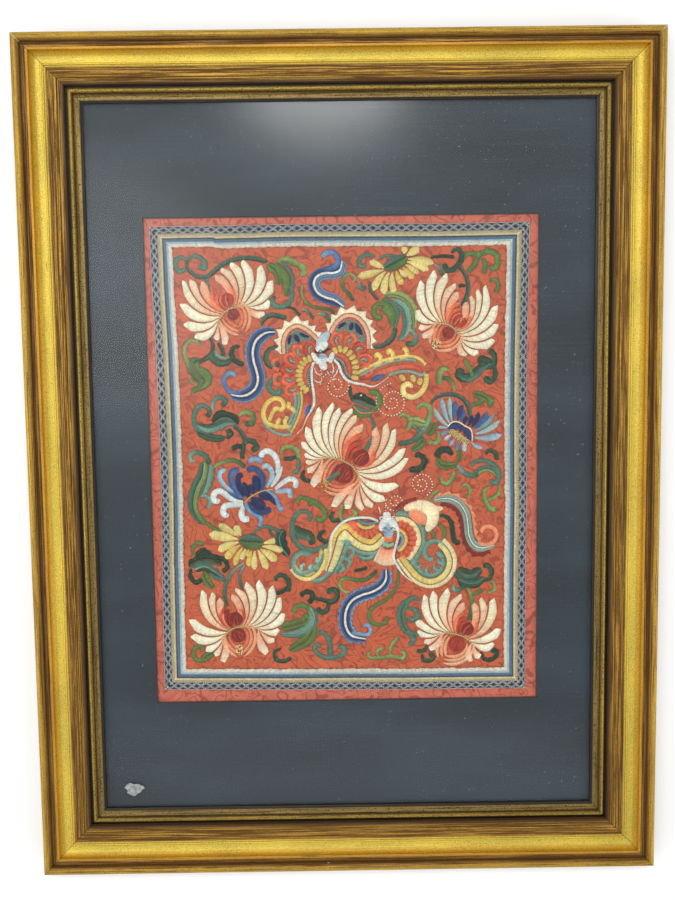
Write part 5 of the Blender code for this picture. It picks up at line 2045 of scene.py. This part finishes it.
            (forest, 3.8, ((124, -177), (127, -183.5), (134, -184), (139, -179), (136, -175),
                           (133, -177))),
            (pine, 4.0, ((126, -110), (132, -108), (134, -101), (130, -95.5), (126, -97))),
            (shade, 3.6, ((98, -101), (104, -107), (110, -112))),
            (fade, 3.6, ((99, -113), (99, -118), (104, -118.5), (108, -114))),
            (lime, 3.0, ((132, -110), (136, -113), (136, -119), (130, -121))),
            (young, 3.6, ((111, -114), (115, -124), (116, -134), (113, -147))),
            (moss, 3.6, ((117, -123), (121, -121), (125, -118)))):
        scroll(work, points, width * 1.18, tint, thin=0.55, wave=0.16, fray=0.12)
    work.beads(np.array([[15.5, 61.0], [16.2, 61.4]]), Thread.WHITE, 0.8, bed=0.6)
    return work


# ---------------------------------------------------------------- sewn borders


@dataclass(frozen=True)
class Side:
    """One side of the sewn border, walked with the field on its left.

    Attributes:
        name: bottom, right, top or left.
        start, end: the corners of its outer line.
        bow: how far inward the line strays, at even steps along it.
        joint: where a new length of silk starts, as a share, and how far it is off.
        lap: how far the stitches reach over the mitre.
    """

    name: str
    start: tuple[float, float]
    end: tuple[float, float]
    bow: tuple[float, ...]
    joint: tuple[float, float] = (2.0, 0.0)
    lap: float = 0.4

    @property
    def length(self) -> float:
        """The outer line's length."""
        return math.dist(self.start, self.end)

    def place(self, along, deep) -> np.ndarray:
        """Points by distance from the start and depth inside the line, between the mitres."""
        along, deep = np.broadcast_arrays(np.atleast_1d(along).astype(float),
                                          np.atleast_1d(deep).astype(float))
        along = np.clip(along, deep - self.lap, self.length - deep + self.lap)
        share = along / self.length
        deep = deep + np.interp(share, np.linspace(0, 1, len(self.bow)), self.bow)
        step = np.where(share > self.joint[0], self.joint[1], 0.0) * np.clip((1 - share) * 40, 0, 1)
        deep = deep + step * (0.3 + 0.07 * deep)
        run = (np.array(self.end) - self.start) / self.length
        inward = np.array([-run[1], run[0]])
        return np.array(self.start) + along[:, None] * run + deep[:, None] * inward

    def points(self, share, inward: Offset) -> np.ndarray:
        """Points from the mitre at one end (0) to the mitre at the other (1)."""
        share = np.atleast_1d(np.asarray(share, float))
        deep = widths(inward, share)
        start = deep - self.lap
        return self.place(start + share * (self.length - 2 * start), deep)


@dataclass
class Borders:
    """The patterned ribbon, the cream braid and the shaded silk band round the field.

    Attributes:
        ribbon, braid, band: how far inside the outer line each starts and ends.
        base: the height of each tape's lower and upper face.
        repeat: the length of one diamond of the ribbon.
    """

    ribbon: tuple[float, float] = (0.0, 7.0)
    braid: tuple[float, float] = (7.2, 10.9)
    band: tuple[float, float] = (11.0, 19.9)
    base: tuple[float, float] = (5.15, 5.75)
    repeat: float = 8.4

    def sides(self) -> list[Side]:
        """The four sides, as crooked as hand sewing leaves them."""
        low_left, low_right = (-168.0, -208.0), (164.7, -211.2)
        top_right, top_left = (167.2, 212.9), (-169.9, 212.3)
        return [Side("bottom", low_left, low_right, (0, -0.3, -0.7, -0.6, -0.8, -0.3, 0)),
                Side("right", low_right, top_right, (0, 0.5, 0.7, 0.3, 1.0, 1.2, 0.6, 0),
                     (0.43, 0.3)),
                Side("top", top_right, top_left, (0, 0.3, 0.4, 0.0, -0.5, -0.9, -0.4, 0.0, 0),
                     (0.831, -1.0)),
                Side("left", top_left, low_left, (0, 0.5, 2.1, 2.7, 3.0, 2.3, 0.9, 0.3, 0),
                     (0.73, 0.3))]

    def strip(self, side: Side, limits: tuple[float, float], tint: Thread, seed: int) -> Needlework:
        """A flat tape along a side, ready to be stitched."""
        work = Needlework(seed, self.base[1] - 0.04)
        share = np.linspace(0, 1, 41)
        work.tape(side.points(share, limits[0]), side.points(share, limits[1]), *self.base, tint)
        return work

    @staticmethod
    def threads(work: Needlework, near: np.ndarray, far: np.ndarray, width: float, tint: Thread,
                bed: float, lift: float = 0.2) -> None:
        """Single threads between points."""
        colour = dye(tint, np.linspace(0, 1, len(near)))
        work.lay(near, far, width, colour, colour, bed, lift)

    def lattice(self, side: Side) -> Needlework:
        """The navy ribbon: a lattice of white threads, dark diamonds, and loops at its edges."""
        low, high = self.ribbon
        work = self.strip(side, (low + 0.2, high - 0.1), Thread.DUSK, 31)
        middle, half = (low + high) / 2, (high - low) / 2 - 0.5
        count = round(side.length / self.repeat)
        step = side.length / count
        knots = np.arange(count + 1) * step
        for phase in (1, -1):
            rise = phase * np.where(np.arange(count + 1) % 2, 1.0, -1.0)
            for shift in (-0.8, 0.8):
                for a, b in ((-0.5, 0.0), (0.0, 0.5)):
                    near = side.place(knots + shift + a * step, middle + 2 * a * rise * half)
                    far = side.place(knots + shift + b * step, middle + 2 * b * rise * half)
                    keep = np.linalg.norm(far - near, axis=1) > 1.2
                    self.threads(work, near[keep], far[keep], 0.36, Thread.PEARL,
                                 0.06 + 0.05 * phase)
        centres = knots[:-1] + step / 2
        self.threads(work, side.place(centres - 1.5, middle), side.place(centres + 1.5, middle),
                     2.4, Thread.INK, 0.1)
        for inward in (low + 0.1, high - 0.2):
            along = np.arange(inward, side.length - inward, 1.6)
            self.threads(work, side.place(along - 0.5, inward), side.place(along + 0.5, inward),
                         0.7, Thread.PEARL, 0.0)
        return work

    def herringbone(self, side: Side) -> Needlework:
        """The cream braid: two columns of slanting stitches with a darker line between."""
        low, high = self.braid
        work = self.strip(side, (low, high), Thread.BRASS, 41)
        along = np.arange(low, side.length - low, 1.3)
        for near, far, tint in ((low + 0.2, low + 1.8, Thread.BRASS),
                                (high, high - 1.75, Thread.FLAX)):
            self.threads(work, side.place(along, near), side.place(along + 1.0, far), 1.05, tint,
                         0.0, 0.42)
        return work

    def shading(self, side: Side) -> Needlework:
        """The band of stitches across, from navy outside to a scalloped white edge inside."""
        low, high = self.band
        work = self.strip(side, (low, high - 1.4), Thread.CREAM, 51)
        ragged = work.random.normal(0, 1, 50)
        waves = side.length / 7.5

        def edge(share: np.ndarray) -> np.ndarray:
            """The scalloped inner edge."""
            wave = np.abs(np.sin(np.pi * waves * (share + 0.006 * np.sin(share * 40))))
            return high - 0.55 + 0.75 * wave**0.7 + 0.25 * np.interp(share, np.linspace(0, 1, 50),
                                                                     ragged)

        for near, far, tints in ((low, low + 1.2, (Thread.INK, Thread.SLATE)),
                                 (low + 1.0, low + 3.6, (Thread.STEEL, Thread.STEEL)),
                                 (low + 3.4, low + 5.0, (Thread.MIST, Thread.FROST)),
                                 (low + 4.8, edge, (Thread.PEARL, Thread.LINEN))):
            work.satin(lambda t: side.points(t, near), lambda t: side.points(t, far), tints,
                       pitch=1.0,
                       slant=0.5 / side.length, lift=0.34, fray=0.1)
        return work

    def build(self) -> list[bpy.types.Object]:
        """Make the twelve pieces."""
        trims = (("ribbon", self.lattice, "lattice_ribbon"),
                 ("braid", self.herringbone, "cream_braid"),
                 ("band", self.shading, "blue_silk"))
        pieces = []
        for side in self.sides():
            for trim, works, slot in trims:
                piece = works(side).piece(f"sewn_{trim}_{side.name}",
                                          Floss().material(f"{trim}_silk"), slot)
                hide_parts(f"{trim}_{side.name}")
                pieces.append(piece)
        return pieces


# ---------------------------------------------------------------- mouldings


def crown(start: float, width: float, height: float, rise: float, steps: int) -> list[tuple]:
    """A rounded member of a section, from one foot over to the other."""
    return arc((start + width / 2, height), width / 2, rise, 180, 0, steps)


def arc(centre: tuple, reach: float, rise: float, start: float, end: float, steps: int) -> list:
    """Points along part of an ellipse.

    Args:
        centre: its centre, as (inward, height).
        reach: its half-width.
        rise: its half-height.
        start, end: the angles it runs between, in degrees.
        steps: how many straight steps it takes.

    Returns:
        The points, as (inward, height).
    """
    angles = [math.radians(start + (end - start) * step / steps) for step in range(steps + 1)]
    return [(centre[0] + reach * math.cos(a), centre[1] + rise * math.sin(a)) for a in angles]


def thicken(bm: bmesh.types.BMesh) -> list[bmesh.types.BMVert]:
    """Copy every face and wall the two layers in; the copy's corners come back, to be lifted."""
    grown = bmesh.ops.extrude_face_region(bm, geom=list(bm.faces), use_keep_orig=True)
    return [v for v in grown["geom"] if isinstance(v, bmesh.types.BMVert)]


@dataclass
class Moulding:
    """Four mitred lengths of one moulding round a rectangle.

    Attributes:
        stem: the first word of each piece's name.
        node: the first word of the CAD nodes that they stand for.
        section: the points round the section, as (inward, height).
        width, height: the rectangle that their outer edges make.
        gap: how far apart the mitred faces stand.
        cuts: how many cuts along each length.
    """

    stem: str
    node: str
    section: list[tuple[float, float]]
    width: float
    height: float
    gap: float = 0.3
    cuts: int = 11

    def stations(self) -> dict[tuple[float, float], float]:
        """The developed length at each point of the section."""
        found = {}
        travelled = 0.0
        before = self.section[0]
        for point in self.section:
            travelled += math.dist(before, point)
            found.setdefault((round(point[0], 3), round(point[1], 3)), travelled)
            before = point
        return found

    def reach(self, inward: float, above: float) -> float:
        """The developed length at a distance inward, on the part of the section over a height."""
        return max(length for (x, z),
                   length in self.stations().items() if z > above and x <= inward)

    def length_mesh(self, length: float) -> bmesh.types.BMesh:
        """One mitred length along X with its outer edge on y = 0, in millimetres."""
        bm = bmesh.new()
        ring = [bm.verts.new((0, inward, height)) for inward, height in self.section]
        bm.faces.new(ring)
        far_end = set(thicken(bm))
        setback = self.gap / 2 * math.sqrt(2)
        for vertex in bm.verts:
            reach = length / 2 - vertex.co.y - setback
            vertex.co.x = reach if vertex in far_end else -reach
        runs = [e for e in bm.edges if abs(e.verts[0].co.x - e.verts[1].co.x) > length / 2]
        bmesh.ops.subdivide_edges(bm, edges=runs, cuts=self.cuts, use_grid_fill=True)
        bmesh.ops.recalc_face_normals(bm, faces=bm.faces)
        return bm

    def paint_map(self, bm: bmesh.types.BMesh, shift: float) -> None:
        """Give each corner its distance along the moulding and round its section, in metres."""
        found = self.stations()
        layer = bm.loops.layers.uv.new("UVMap")
        for face in bm.faces:
            places = [found[(round(c.vert.co.y, 3), round(c.vert.co.z, 3))] for c in face.loops]
            wraps = max(places) - min(places) > max(found.values()) / 2
            for corner, place in zip(face.loops, places):
                if wraps and place == 0.0:
                    place = max(places) + 1.0
                corner[layer].uv = ((corner.vert.co.x + shift) * MM, place * MM)

    def build(self, material: bpy.types.Material, slot: str) -> list[bpy.types.Object]:
        """Make the four lengths, in place."""
        pieces = []
        for number, (side, turn) in enumerate(SIDES.items()):
            along = self.width if turn in (0, 180) else self.height
            across = self.height if turn in (0, 180) else self.width
            bm = self.length_mesh(along)
            self.paint_map(bm, 1000.0 * number)
            placed = Matrix.Rotation(math.radians(turn), 4, "Z")
            placed = Matrix.Scale(MM, 4) @ placed @ Matrix.Translation((0, -across / 2, 0))
            bmesh.ops.transform(bm, matrix=placed, verts=bm.verts)
            piece = link(f"{self.stem}_{side}", bm, angle=28)
            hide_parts(f"{self.node}_{side}")
            wear(piece, material)
            pieces.append(piece)
        return pieces


@dataclass
class GiltFrame:
    """The outer gilt moulding. Its members go from the outside in.

    Attributes:
        width, height: the outside of the frame.
        rail: how wide a rail is.
        wall: how high its outer wall is.
        torus, torus_rise: the width and rise of the round member on the wall.
        groove, groove_height: the flat beside it.
        fillet, fillet_height: the raised step beside the cove.
        cove, cove_foot: the width of the cove, and the height of its foot.
        bead, bead_rise: the width and rise of each of the two beads at its foot.
        band_outer, band_inner: the height of the broad band at its outer and inner edge.
        quirk, quirk_width, quirk_depth: the narrow groove in the band.
        rebate, rebate_height: where the rebate starts, and how high it is.
    """

    width: float = 560
    height: float = 748
    rail: float = 42
    wall: float = 26
    torus: float = 8
    torus_rise: float = 4.5
    groove: float = 4.2
    groove_height: float = 25.2
    fillet: float = 2.4
    fillet_height: float = 26.8
    cove: float = 9.5
    cove_foot: float = 20.6
    bead: float = 1.9
    bead_rise: float = 0.9
    band_outer: float = 20.4
    band_inner: float = 18.8
    quirk: float = 36.4
    quirk_width: float = 1.2
    quirk_depth: float = 0.8
    rebate: float = 34
    rebate_height: float = 14.5

    def ends(self) -> tuple[float, float, float, float]:
        """Where the groove, the fillet, the cove and the beads end."""
        return tuple(accumulate((self.torus + self.groove, self.fillet, self.cove, 2 * self.bead)))

    def section(self) -> list[tuple[float, float]]:
        """The section's points, from the outer back corner round to the rebate."""
        groove, fillet, cove, beads = self.ends()
        slope = (self.band_inner - self.band_outer) / (self.rail - beads)
        points = [(0.0, 0.0), (0.0, 2.0)]
        points += crown(0, self.torus, self.wall, self.torus_rise, 14)
        points += [(self.torus, self.groove_height), (groove, self.groove_height)]
        points += [(groove, self.fillet_height - 0.3), (groove + 0.3, self.fillet_height)]
        points += [(fillet - 0.3, self.fillet_height)]
        points += arc((cove, self.fillet_height - 0.2), self.cove,
                      self.fillet_height - 0.2 - self.cove_foot, 180, 270, 12)
        points += crown(cove, self.bead, self.cove_foot, self.bead_rise, 8)[1:]
        points += crown(cove + self.bead, self.bead, self.cove_foot, self.bead_rise, 8)[1:]
        points += [(beads, self.band_outer)]
        # a shallow ripple in the band, and the quirk
        for share, depth in ((0.30, 0.12), (0.33, 0.0), (0.36, 0.12)):
            inward = beads + share * (self.rail - beads)
            points += [(inward, self.band_outer + slope * (inward - beads) - depth)]
        for offset, depth in ((-0.5, 0.0), (0.0, self.quirk_depth), (0.5, 0.0)):
            inward = self.quirk + offset * self.quirk_width
            points += [(inward, self.band_outer + slope * (inward - beads) - depth)]
        points += [(self.rail - 0.4, self.band_inner), (self.rail, self.band_inner - 0.4)]
        points += [(self.rail, self.rebate_height), (self.rebate, self.rebate_height)]
        points += [(self.rebate, 0.0)]
        return points

    def members(self, moulding: Moulding) -> tuple[Member, ...]:
        """The colour of each member, by where it ends on the developed section."""
        def at(inward: float) -> float:
            return moulding.reach(inward, self.rebate_height)

        groove, fillet, cove, beads = self.ends()
        return (
            Member(at(0.2), (145, 107, 34), 0.62),
            Member(at(self.torus * 0.30), (199, 157, 50), 0.50),
            Member(at(self.torus * 0.72), (214, 172, 57), 0.55),
            Member(at(self.torus), (170, 128, 41), 0.70),
            Member(at(groove), (120, 82, 28), 0.85),
            Member(at(fillet), (197, 147, 58), 0.35),
            Member(at(fillet + 0.45 * self.cove), (207, 149, 19), 0.05),
            Member(at(fillet + 0.60 * self.cove), (210, 168, 46), 0.05),
            Member(at(cove), (224, 197, 77), 0.16),
            Member(at(cove + self.bead), (232, 201, 76), 0.05),
            Member(at(beads), (228, 195, 71), 0.10),
            Member(at(beads + 3.0), (199, 168, 69), 0.62),
            Member(at(self.quirk), (170, 126, 43), 0.90),
            Member(at(self.rail - 0.2), (199, 153, 51), 0.80),
            # painted shade: the rail's inner lip wall, down in the gap beside the slip, is painted
            # near black
            Member(at(self.rail) + 2.0, (34, 22, 12), 0.3),
            Member(at(self.rail) + 60.0, (135, 96, 41), 1.0),
        )

    def build(self) -> None:
        """Make the four rails."""
        moulding = Moulding("gilt_rail", "rail", self.section(), self.width, self.height)
        girth = max(moulding.stations().values())
        # chips and smears of paint, each as x, y, radius and colour
        marks = (
            (-18.0, 366.0, 1.5, (240, 236, 224)),
            (-161.0, 341.0, 1.7, (214, 160, 140)),
            (24.0, 369.0, 1.6, (52, 44, 34)),
            (-273.0, 238.0, 0.9, (40, 24, 12)),
            (-267.0, 196.0, 0.9, (40, 24, 12)),
            (-262.0, 188.0, 0.9, (40, 24, 12)),
            (-19.0, -366.0, 2.2, (216, 158, 138)),
            (-91.0, -362.0, 1.1, (208, 150, 126)),
            (-117.0, -338.0, 1.1, (206, 150, 128)),
            (223.0, -352.0, 1.2, (60, 36, 18)),
        )
        gilding = Gilding(self.members(moulding), girth, marks=marks)
        moulding.build(gilding.material("gilt_wood"), "gilt_wood")


@dataclass
class Slip:
    """The small speckled moulding that lies on the glass.

    Attributes:
        width, height: the outside of the frame that it fits.
        outer: where its outer edge is.
        bottom: the height of its underside.
        shelf: the height of the flat under the rail.
        bead_at, bead, bead_height: the bead's start, width and foot.
        cove, cove_height: the cove's width, and the height of its foot.
        fillet, fillet_rise: the width and rise of the fillet.
        sight, lip: where its inner edge is, and how high.
    """

    width: float = 560
    height: float = 748
    outer: float = 34.5
    bottom: float = 10.9
    shelf: float = 14.2
    bead_at: float = 44.3
    bead: float = 4.4
    bead_height: float = 14.8
    cove: float = 4.2
    cove_height: float = 12.9
    fillet: float = 1.2
    fillet_rise: float = 0.4
    sight: float = 56
    lip: float = 12.3

    def ends(self) -> tuple[float, float, float]:
        """Where the bead, the cove and the fillet end."""
        return tuple(accumulate((self.bead_at + self.bead, self.cove, self.fillet)))

    def section(self) -> list[tuple[float, float]]:
        """The section's points, from the outer back corner round to the sight edge."""
        cove_end, fillet_end = self.ends()[1:]
        points = [(self.outer, self.bottom), (self.outer, self.shelf), (self.bead_at, self.shelf)]
        points += crown(self.bead_at, self.bead, self.bead_height, self.bead / 2, 12)
        points += arc((cove_end, self.bead_height), self.cove,
                      self.bead_height - self.cove_height, 180, 270, 8)[1:]
        points += [(cove_end, self.cove_height + self.fillet_rise)]
        points += [(fillet_end, self.cove_height + self.fillet_rise),
                   (fillet_end, self.cove_height)]
        points += [(self.sight, self.lip), (self.sight, self.bottom)]
        return points

    def members(self, moulding: Moulding) -> tuple[Member, ...]:
        """The colour of each member."""
        def at(inward: float) -> float:
            return moulding.reach(inward, self.bottom)

        bead_end, cove_end, fillet_end = self.ends()
        return (
            # painted shade: the outer wall, the shelf under the rail's lip and the bead's outer
            # foot, which lie in the dark gap, are painted near black
            Member(at(self.bead_at) - 0.3, (14, 11, 9), 0.0),
            Member(at(self.bead_at) + 0.5, (14, 11, 9), 0.0),
            Member(at(self.bead_at + 0.35 * self.bead), (189, 159, 58), 0.30),
            Member(at(self.bead_at + 0.75 * self.bead), (207, 176, 67), 0.25),
            Member(at(bead_end), (145, 113, 33), 0.40),
            Member(at(cove_end), (100, 76, 23), 0.55),
            Member(at(fillet_end), (162, 134, 66), 0.35),
            # painted shade: the slope down to the sight edge and the inner wall below it are
            # painted dark brown
            Member(at(self.sight) + 3.0, (46, 36, 24), 0.6),
        )

    def build(self) -> None:
        """Make the four slips."""
        moulding = Moulding("gilt_slip", "slip", self.section(), self.width, self.height)
        girth = max(moulding.stations().values())
        gilding = Gilding(self.members(moulding), girth, under=(40, 27, 12), speckle=1.0,
                          dotted=0.585,
                          metallic=0.5, roughness=0.42)
        moulding.build(gilding.material("speckled_gilt"), "speckled_gilt")


# ---------------------------------------------------------------- the flat layers


@dataclass
class Layers:
    """Backing board, cloth, mat and glass, and a scrap stuck to the glass.

    Attributes:
        width, height: the size of the board, the mat and the glass.
        backing, cloth, mat: the height of each one's lower and upper face.
        cloth_size: the cloth's width and height.
        window, window_round: the mat's opening, and the round of its upper edge.
        glass_top: the height of the glass's upper face.
    """

    width: float = 491
    height: float = 679
    backing: tuple[float, float] = (1.0, 4.0)
    cloth: tuple[float, float] = (4.3, 5.3)
    cloth_size: tuple[float, float] = (374, 464)
    mat: tuple[float, float] = (5.6, 8.3)
    window: tuple[float, float] = (350, 440)
    window_round: float = 1.1
    glass_top: float = 10.6

    def board(self) -> None:
        """The plain board that closes the back."""
        low, high = self.backing
        bm = bmesh.new()
        bmesh.ops.create_cube(bm, size=1)
        bmesh.ops.scale(bm, verts=bm.verts, vec=(self.width * MM, self.height * MM,
                                                 (high - low) * MM))
        bmesh.ops.translate(bm, verts=bm.verts, vec=(0, 0, (low + high) / 2 * MM))
        bmesh.ops.bevel(bm, geom=list(bm.edges), offset=0.4 * MM, segments=2, profile=0.5,
                        affect="EDGES", material=-1)
        piece = link("backing_board", bm)
        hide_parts("backing")
        wear(piece, Plain((124, 96, 66), (150, 120, 86)).material("backing_board"))

    def mat_board(self) -> None:
        """The silk-covered mat: a ring with a soft, rounded window edge."""
        low, high = self.mat
        half = (self.width / 2, self.height / 2)
        opening = (self.window[0] / 2, self.window[1] / 2)
        bm = bmesh.new()
        bmesh.ops.create_grid(bm, x_segments=3, y_segments=3, size=1.5)
        for vertex in bm.verts:
            for axis in (0, 1):
                line = (-half[axis], -opening[axis], opening[axis], half[axis])
                vertex.co[axis] = line[round(vertex.co[axis] + 1.5)]
            vertex.co.z = low
        middle = [face for face in bm.faces if face.calc_center_median().length < 20]
        bmesh.ops.delete(bm, geom=middle, context="FACES_ONLY")
        top = thicken(bm)
        bmesh.ops.translate(bm, verts=top, vec=Vector((0, 0, high - low)))
        bmesh.ops.recalc_face_normals(bm, faces=bm.faces)
        rim = [edge for edge in bm.edges if self.on_rim(edge)]
        bmesh.ops.bevel(bm, geom=rim, offset=self.window_round, segments=4, profile=0.5,
                        affect="EDGES", material=-1)
        bmesh.ops.scale(bm, verts=bm.verts, vec=(MM, MM, MM))
        piece = link("silk_mat", bm)
        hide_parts("mat")
        wear(piece, MatSilk().material("mat_silk"))

    def on_rim(self, edge: bmesh.types.BMEdge) -> bool:
        """True for the four edges round the window on the mat's upper face."""
        half_width, half_height = self.window[0] / 2, self.window[1] / 2
        ends = [vertex.co for vertex in edge.verts]
        return all(abs(co.x) <= half_width and abs(co.y) <= half_height and co.z > self.mat[0]
                   for co in ends)

    def silk_ground(self) -> bpy.types.Object:
        """The red cloth, one thin sheet with slight puckers where it shows."""
        low, high = self.cloth
        bm = bmesh.new()
        bmesh.ops.create_grid(bm, x_segments=110, y_segments=136, size=0.5)
        bmesh.ops.scale(bm, verts=bm.verts, vec=(*self.cloth_size, 1))
        top = thicken(bm)
        for vertex in bm.verts:
            vertex.co.z = low + 0.2
        for vertex in top:
            x, y = vertex.co.x, vertex.co.y
            pucker = math.sin(x * 0.11 + 2.1 * math.sin(y * 0.047)) * math.sin(y * 0.083 + 1.3)
            vertex.co.z = high - 0.1 + 0.07 * pucker
        bmesh.ops.recalc_face_normals(bm, faces=bm.faces)
        bmesh.ops.scale(bm, verts=bm.verts, vec=(MM, MM, MM))
        piece = link("silk_ground", bm)
        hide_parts("cloth")
        wear(piece, Damask().material("silk_damask"))
        return piece

    def pane(self) -> None:
        """The glass keeps its CAD shape and takes a pane's finish."""
        for item in bpy.data.objects:
            if item.name == "glass" or item.name.startswith("glass."):
                item.data.materials.clear()
                item.data.materials.append(Pane().material("clear_glass"))

    def scrap(self) -> None:
        """A torn grey scrap stuck to the glass at the lower left."""
        centre, reach = (-198.5, -300.5), (8.2, 5.6)
        bm = bmesh.new()
        bmesh.ops.create_circle(bm, cap_ends=True, segments=28, radius=1)
        for vertex in bm.verts:
            angle = math.atan2(vertex.co.y, vertex.co.x)
            ragged = (1 + 0.16 * math.sin(3 * angle + 0.6) + 0.09 * math.sin(7 * angle)
                      + 0.05 * math.cos(13 * angle))
            vertex.co.x = centre[0] + reach[0] * ragged * math.cos(angle)
            vertex.co.y = centre[1] + reach[1] * ragged * math.sin(angle)
            vertex.co.z = self.glass_top + 0.03
        bmesh.ops.solidify(bm, geom=list(bm.faces), thickness=-0.22)
        bmesh.ops.recalc_face_normals(bm, faces=bm.faces)
        bmesh.ops.scale(bm, verts=bm.verts, vec=(MM, MM, MM))
        piece = link("grey_scrap", bm)
        paper = Plain((120, 124, 124), (168, 172, 170), scale=(260, 260, 260), roughness=0.9)
        wear(piece, paper.material("grey_scrap"))


# ---------------------------------------------------------------- studio


@dataclass
class Studio:
    """Pale floor, soft lights and the camera over the panel.

    Attributes:
        lens: the camera's focal length, in millimetres.
        eye: where it is, in metres.
        aim: its turns about the three axes, in degrees.
        sky: the strength of the even light from all round.
    """

    lens: float = 40.0
    eye: tuple[float, float, float] = (-0.010, 0.096, 0.906)
    aim: tuple[float, float, float] = (-5.32, -0.33, -0.74)
    sky: float = 0.60

    def floor(self) -> None:
        """A large pale floor just under the panel."""
        bm = bmesh.new()
        bmesh.ops.create_grid(bm, x_segments=1, y_segments=1, size=3.0)
        floor = link("floor", bm)
        graph = Graph("floor_paint")
        floor.data.materials.append(graph.finish(Base_Color=(0.93, 0.93, 0.93, 1.0), Roughness=0.9))
        floor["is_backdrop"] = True

    def lamp(self, name: str, place: tuple, target: tuple, size: tuple, power: float) -> None:
        """One soft oval lamp.

        Args:
            name: its name.
            place: where it hangs, in metres.
            target: the point that it faces.
            size: its width and depth, in metres.
            power: its power in watts.
        """
        light = bpy.data.lights.new(name, "AREA")
        light.shape = "ELLIPSE"
        light.size, light.size_y = size
        light.energy = power
        item = bpy.data.objects.new(name, light)
        item.location = place
        item.rotation_euler = (Vector(target) - Vector(place)).to_track_quat("-Z", "Y").to_euler()
        bpy.context.scene.collection.objects.link(item)

    def lights(self) -> None:
        """Weak lamps past the two ends, stronger ones at the sides, and two nearly overhead whose
        images in the glass are its glare."""
        self.lamp("key", (-0.9, 1.9, 1.9), (0, 0.05, 0), (1.6, 1.0), 3)
        self.lamp("fill", (1.9, -0.3, 1.3), (0, 0, 0), (1.4, 1.2), 12.5)
        self.lamp("left", (-1.9, -0.2, 1.3), (0, 0, 0), (1.2, 1.2), 12)
        self.lamp("over", (-0.02, 0.83, 1.9), (0, 0.2, 0), (0.44, 0.26), 9.5)
        self.lamp("window", (-0.65, 0.29, 1.9), (-0.2, 0.1, 0), (0.70, 0.80), 6.5)
        self.lamp("near", (0.0, -1.10, 1.9), (0, 0, 0), (1.8, 0.35), 3)
        world = bpy.context.scene.world or bpy.data.worlds.new("World")
        bpy.context.scene.world = world
        world.use_nodes = True
        background = world.node_tree.nodes["Background"]
        background.inputs["Color"].default_value = (0.99, 1.0, 1.0, 1.0)
        background.inputs["Strength"].default_value = self.sky

    def camera(self) -> None:
        """The camera, almost straight above the panel."""
        data = bpy.data.cameras.new("camera")
        data.lens = self.lens
        data.sensor_width = 36.0
        data.clip_start = 0.01
        item = bpy.data.objects.new("camera", data)
        item.location = self.eye
        item.rotation_euler = [math.radians(angle) for angle in self.aim]
        bpy.context.scene.collection.objects.link(item)
        bpy.context.scene.camera = item

    def build(self) -> None:
        """Set the whole studio up."""
        self.camera()
        self.floor()
        self.lights()
        bpy.context.scene.view_settings.view_transform = "Standard"


def sizes() -> list:
    """The model's box, as plain lists of numbers."""
    return [[float(value) for value in corner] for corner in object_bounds()]


def main() -> None:
    """Build the panel in its studio."""
    logging.basicConfig(level=logging.INFO, format="%(name)s %(message)s")
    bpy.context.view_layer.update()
    Studio().build()
    GiltFrame().build()
    Slip().build()
    layers = Layers()
    layers.board()
    layers.mat_board()
    ground = layers.silk_ground()
    layers.pane()
    layers.scrap()
    sewn = Borders().build()
    floss = Floss().material("silk_floss")
    for name, work in (("lotus", lotuses), ("blossom", blossoms), ("butterfly", butterflies),
                       ("leaf", leaves)):
        sewn.append(work().piece(f"{name}_embroidery", floss, "silk_damask"))


if __name__ == "__main__":
    main()
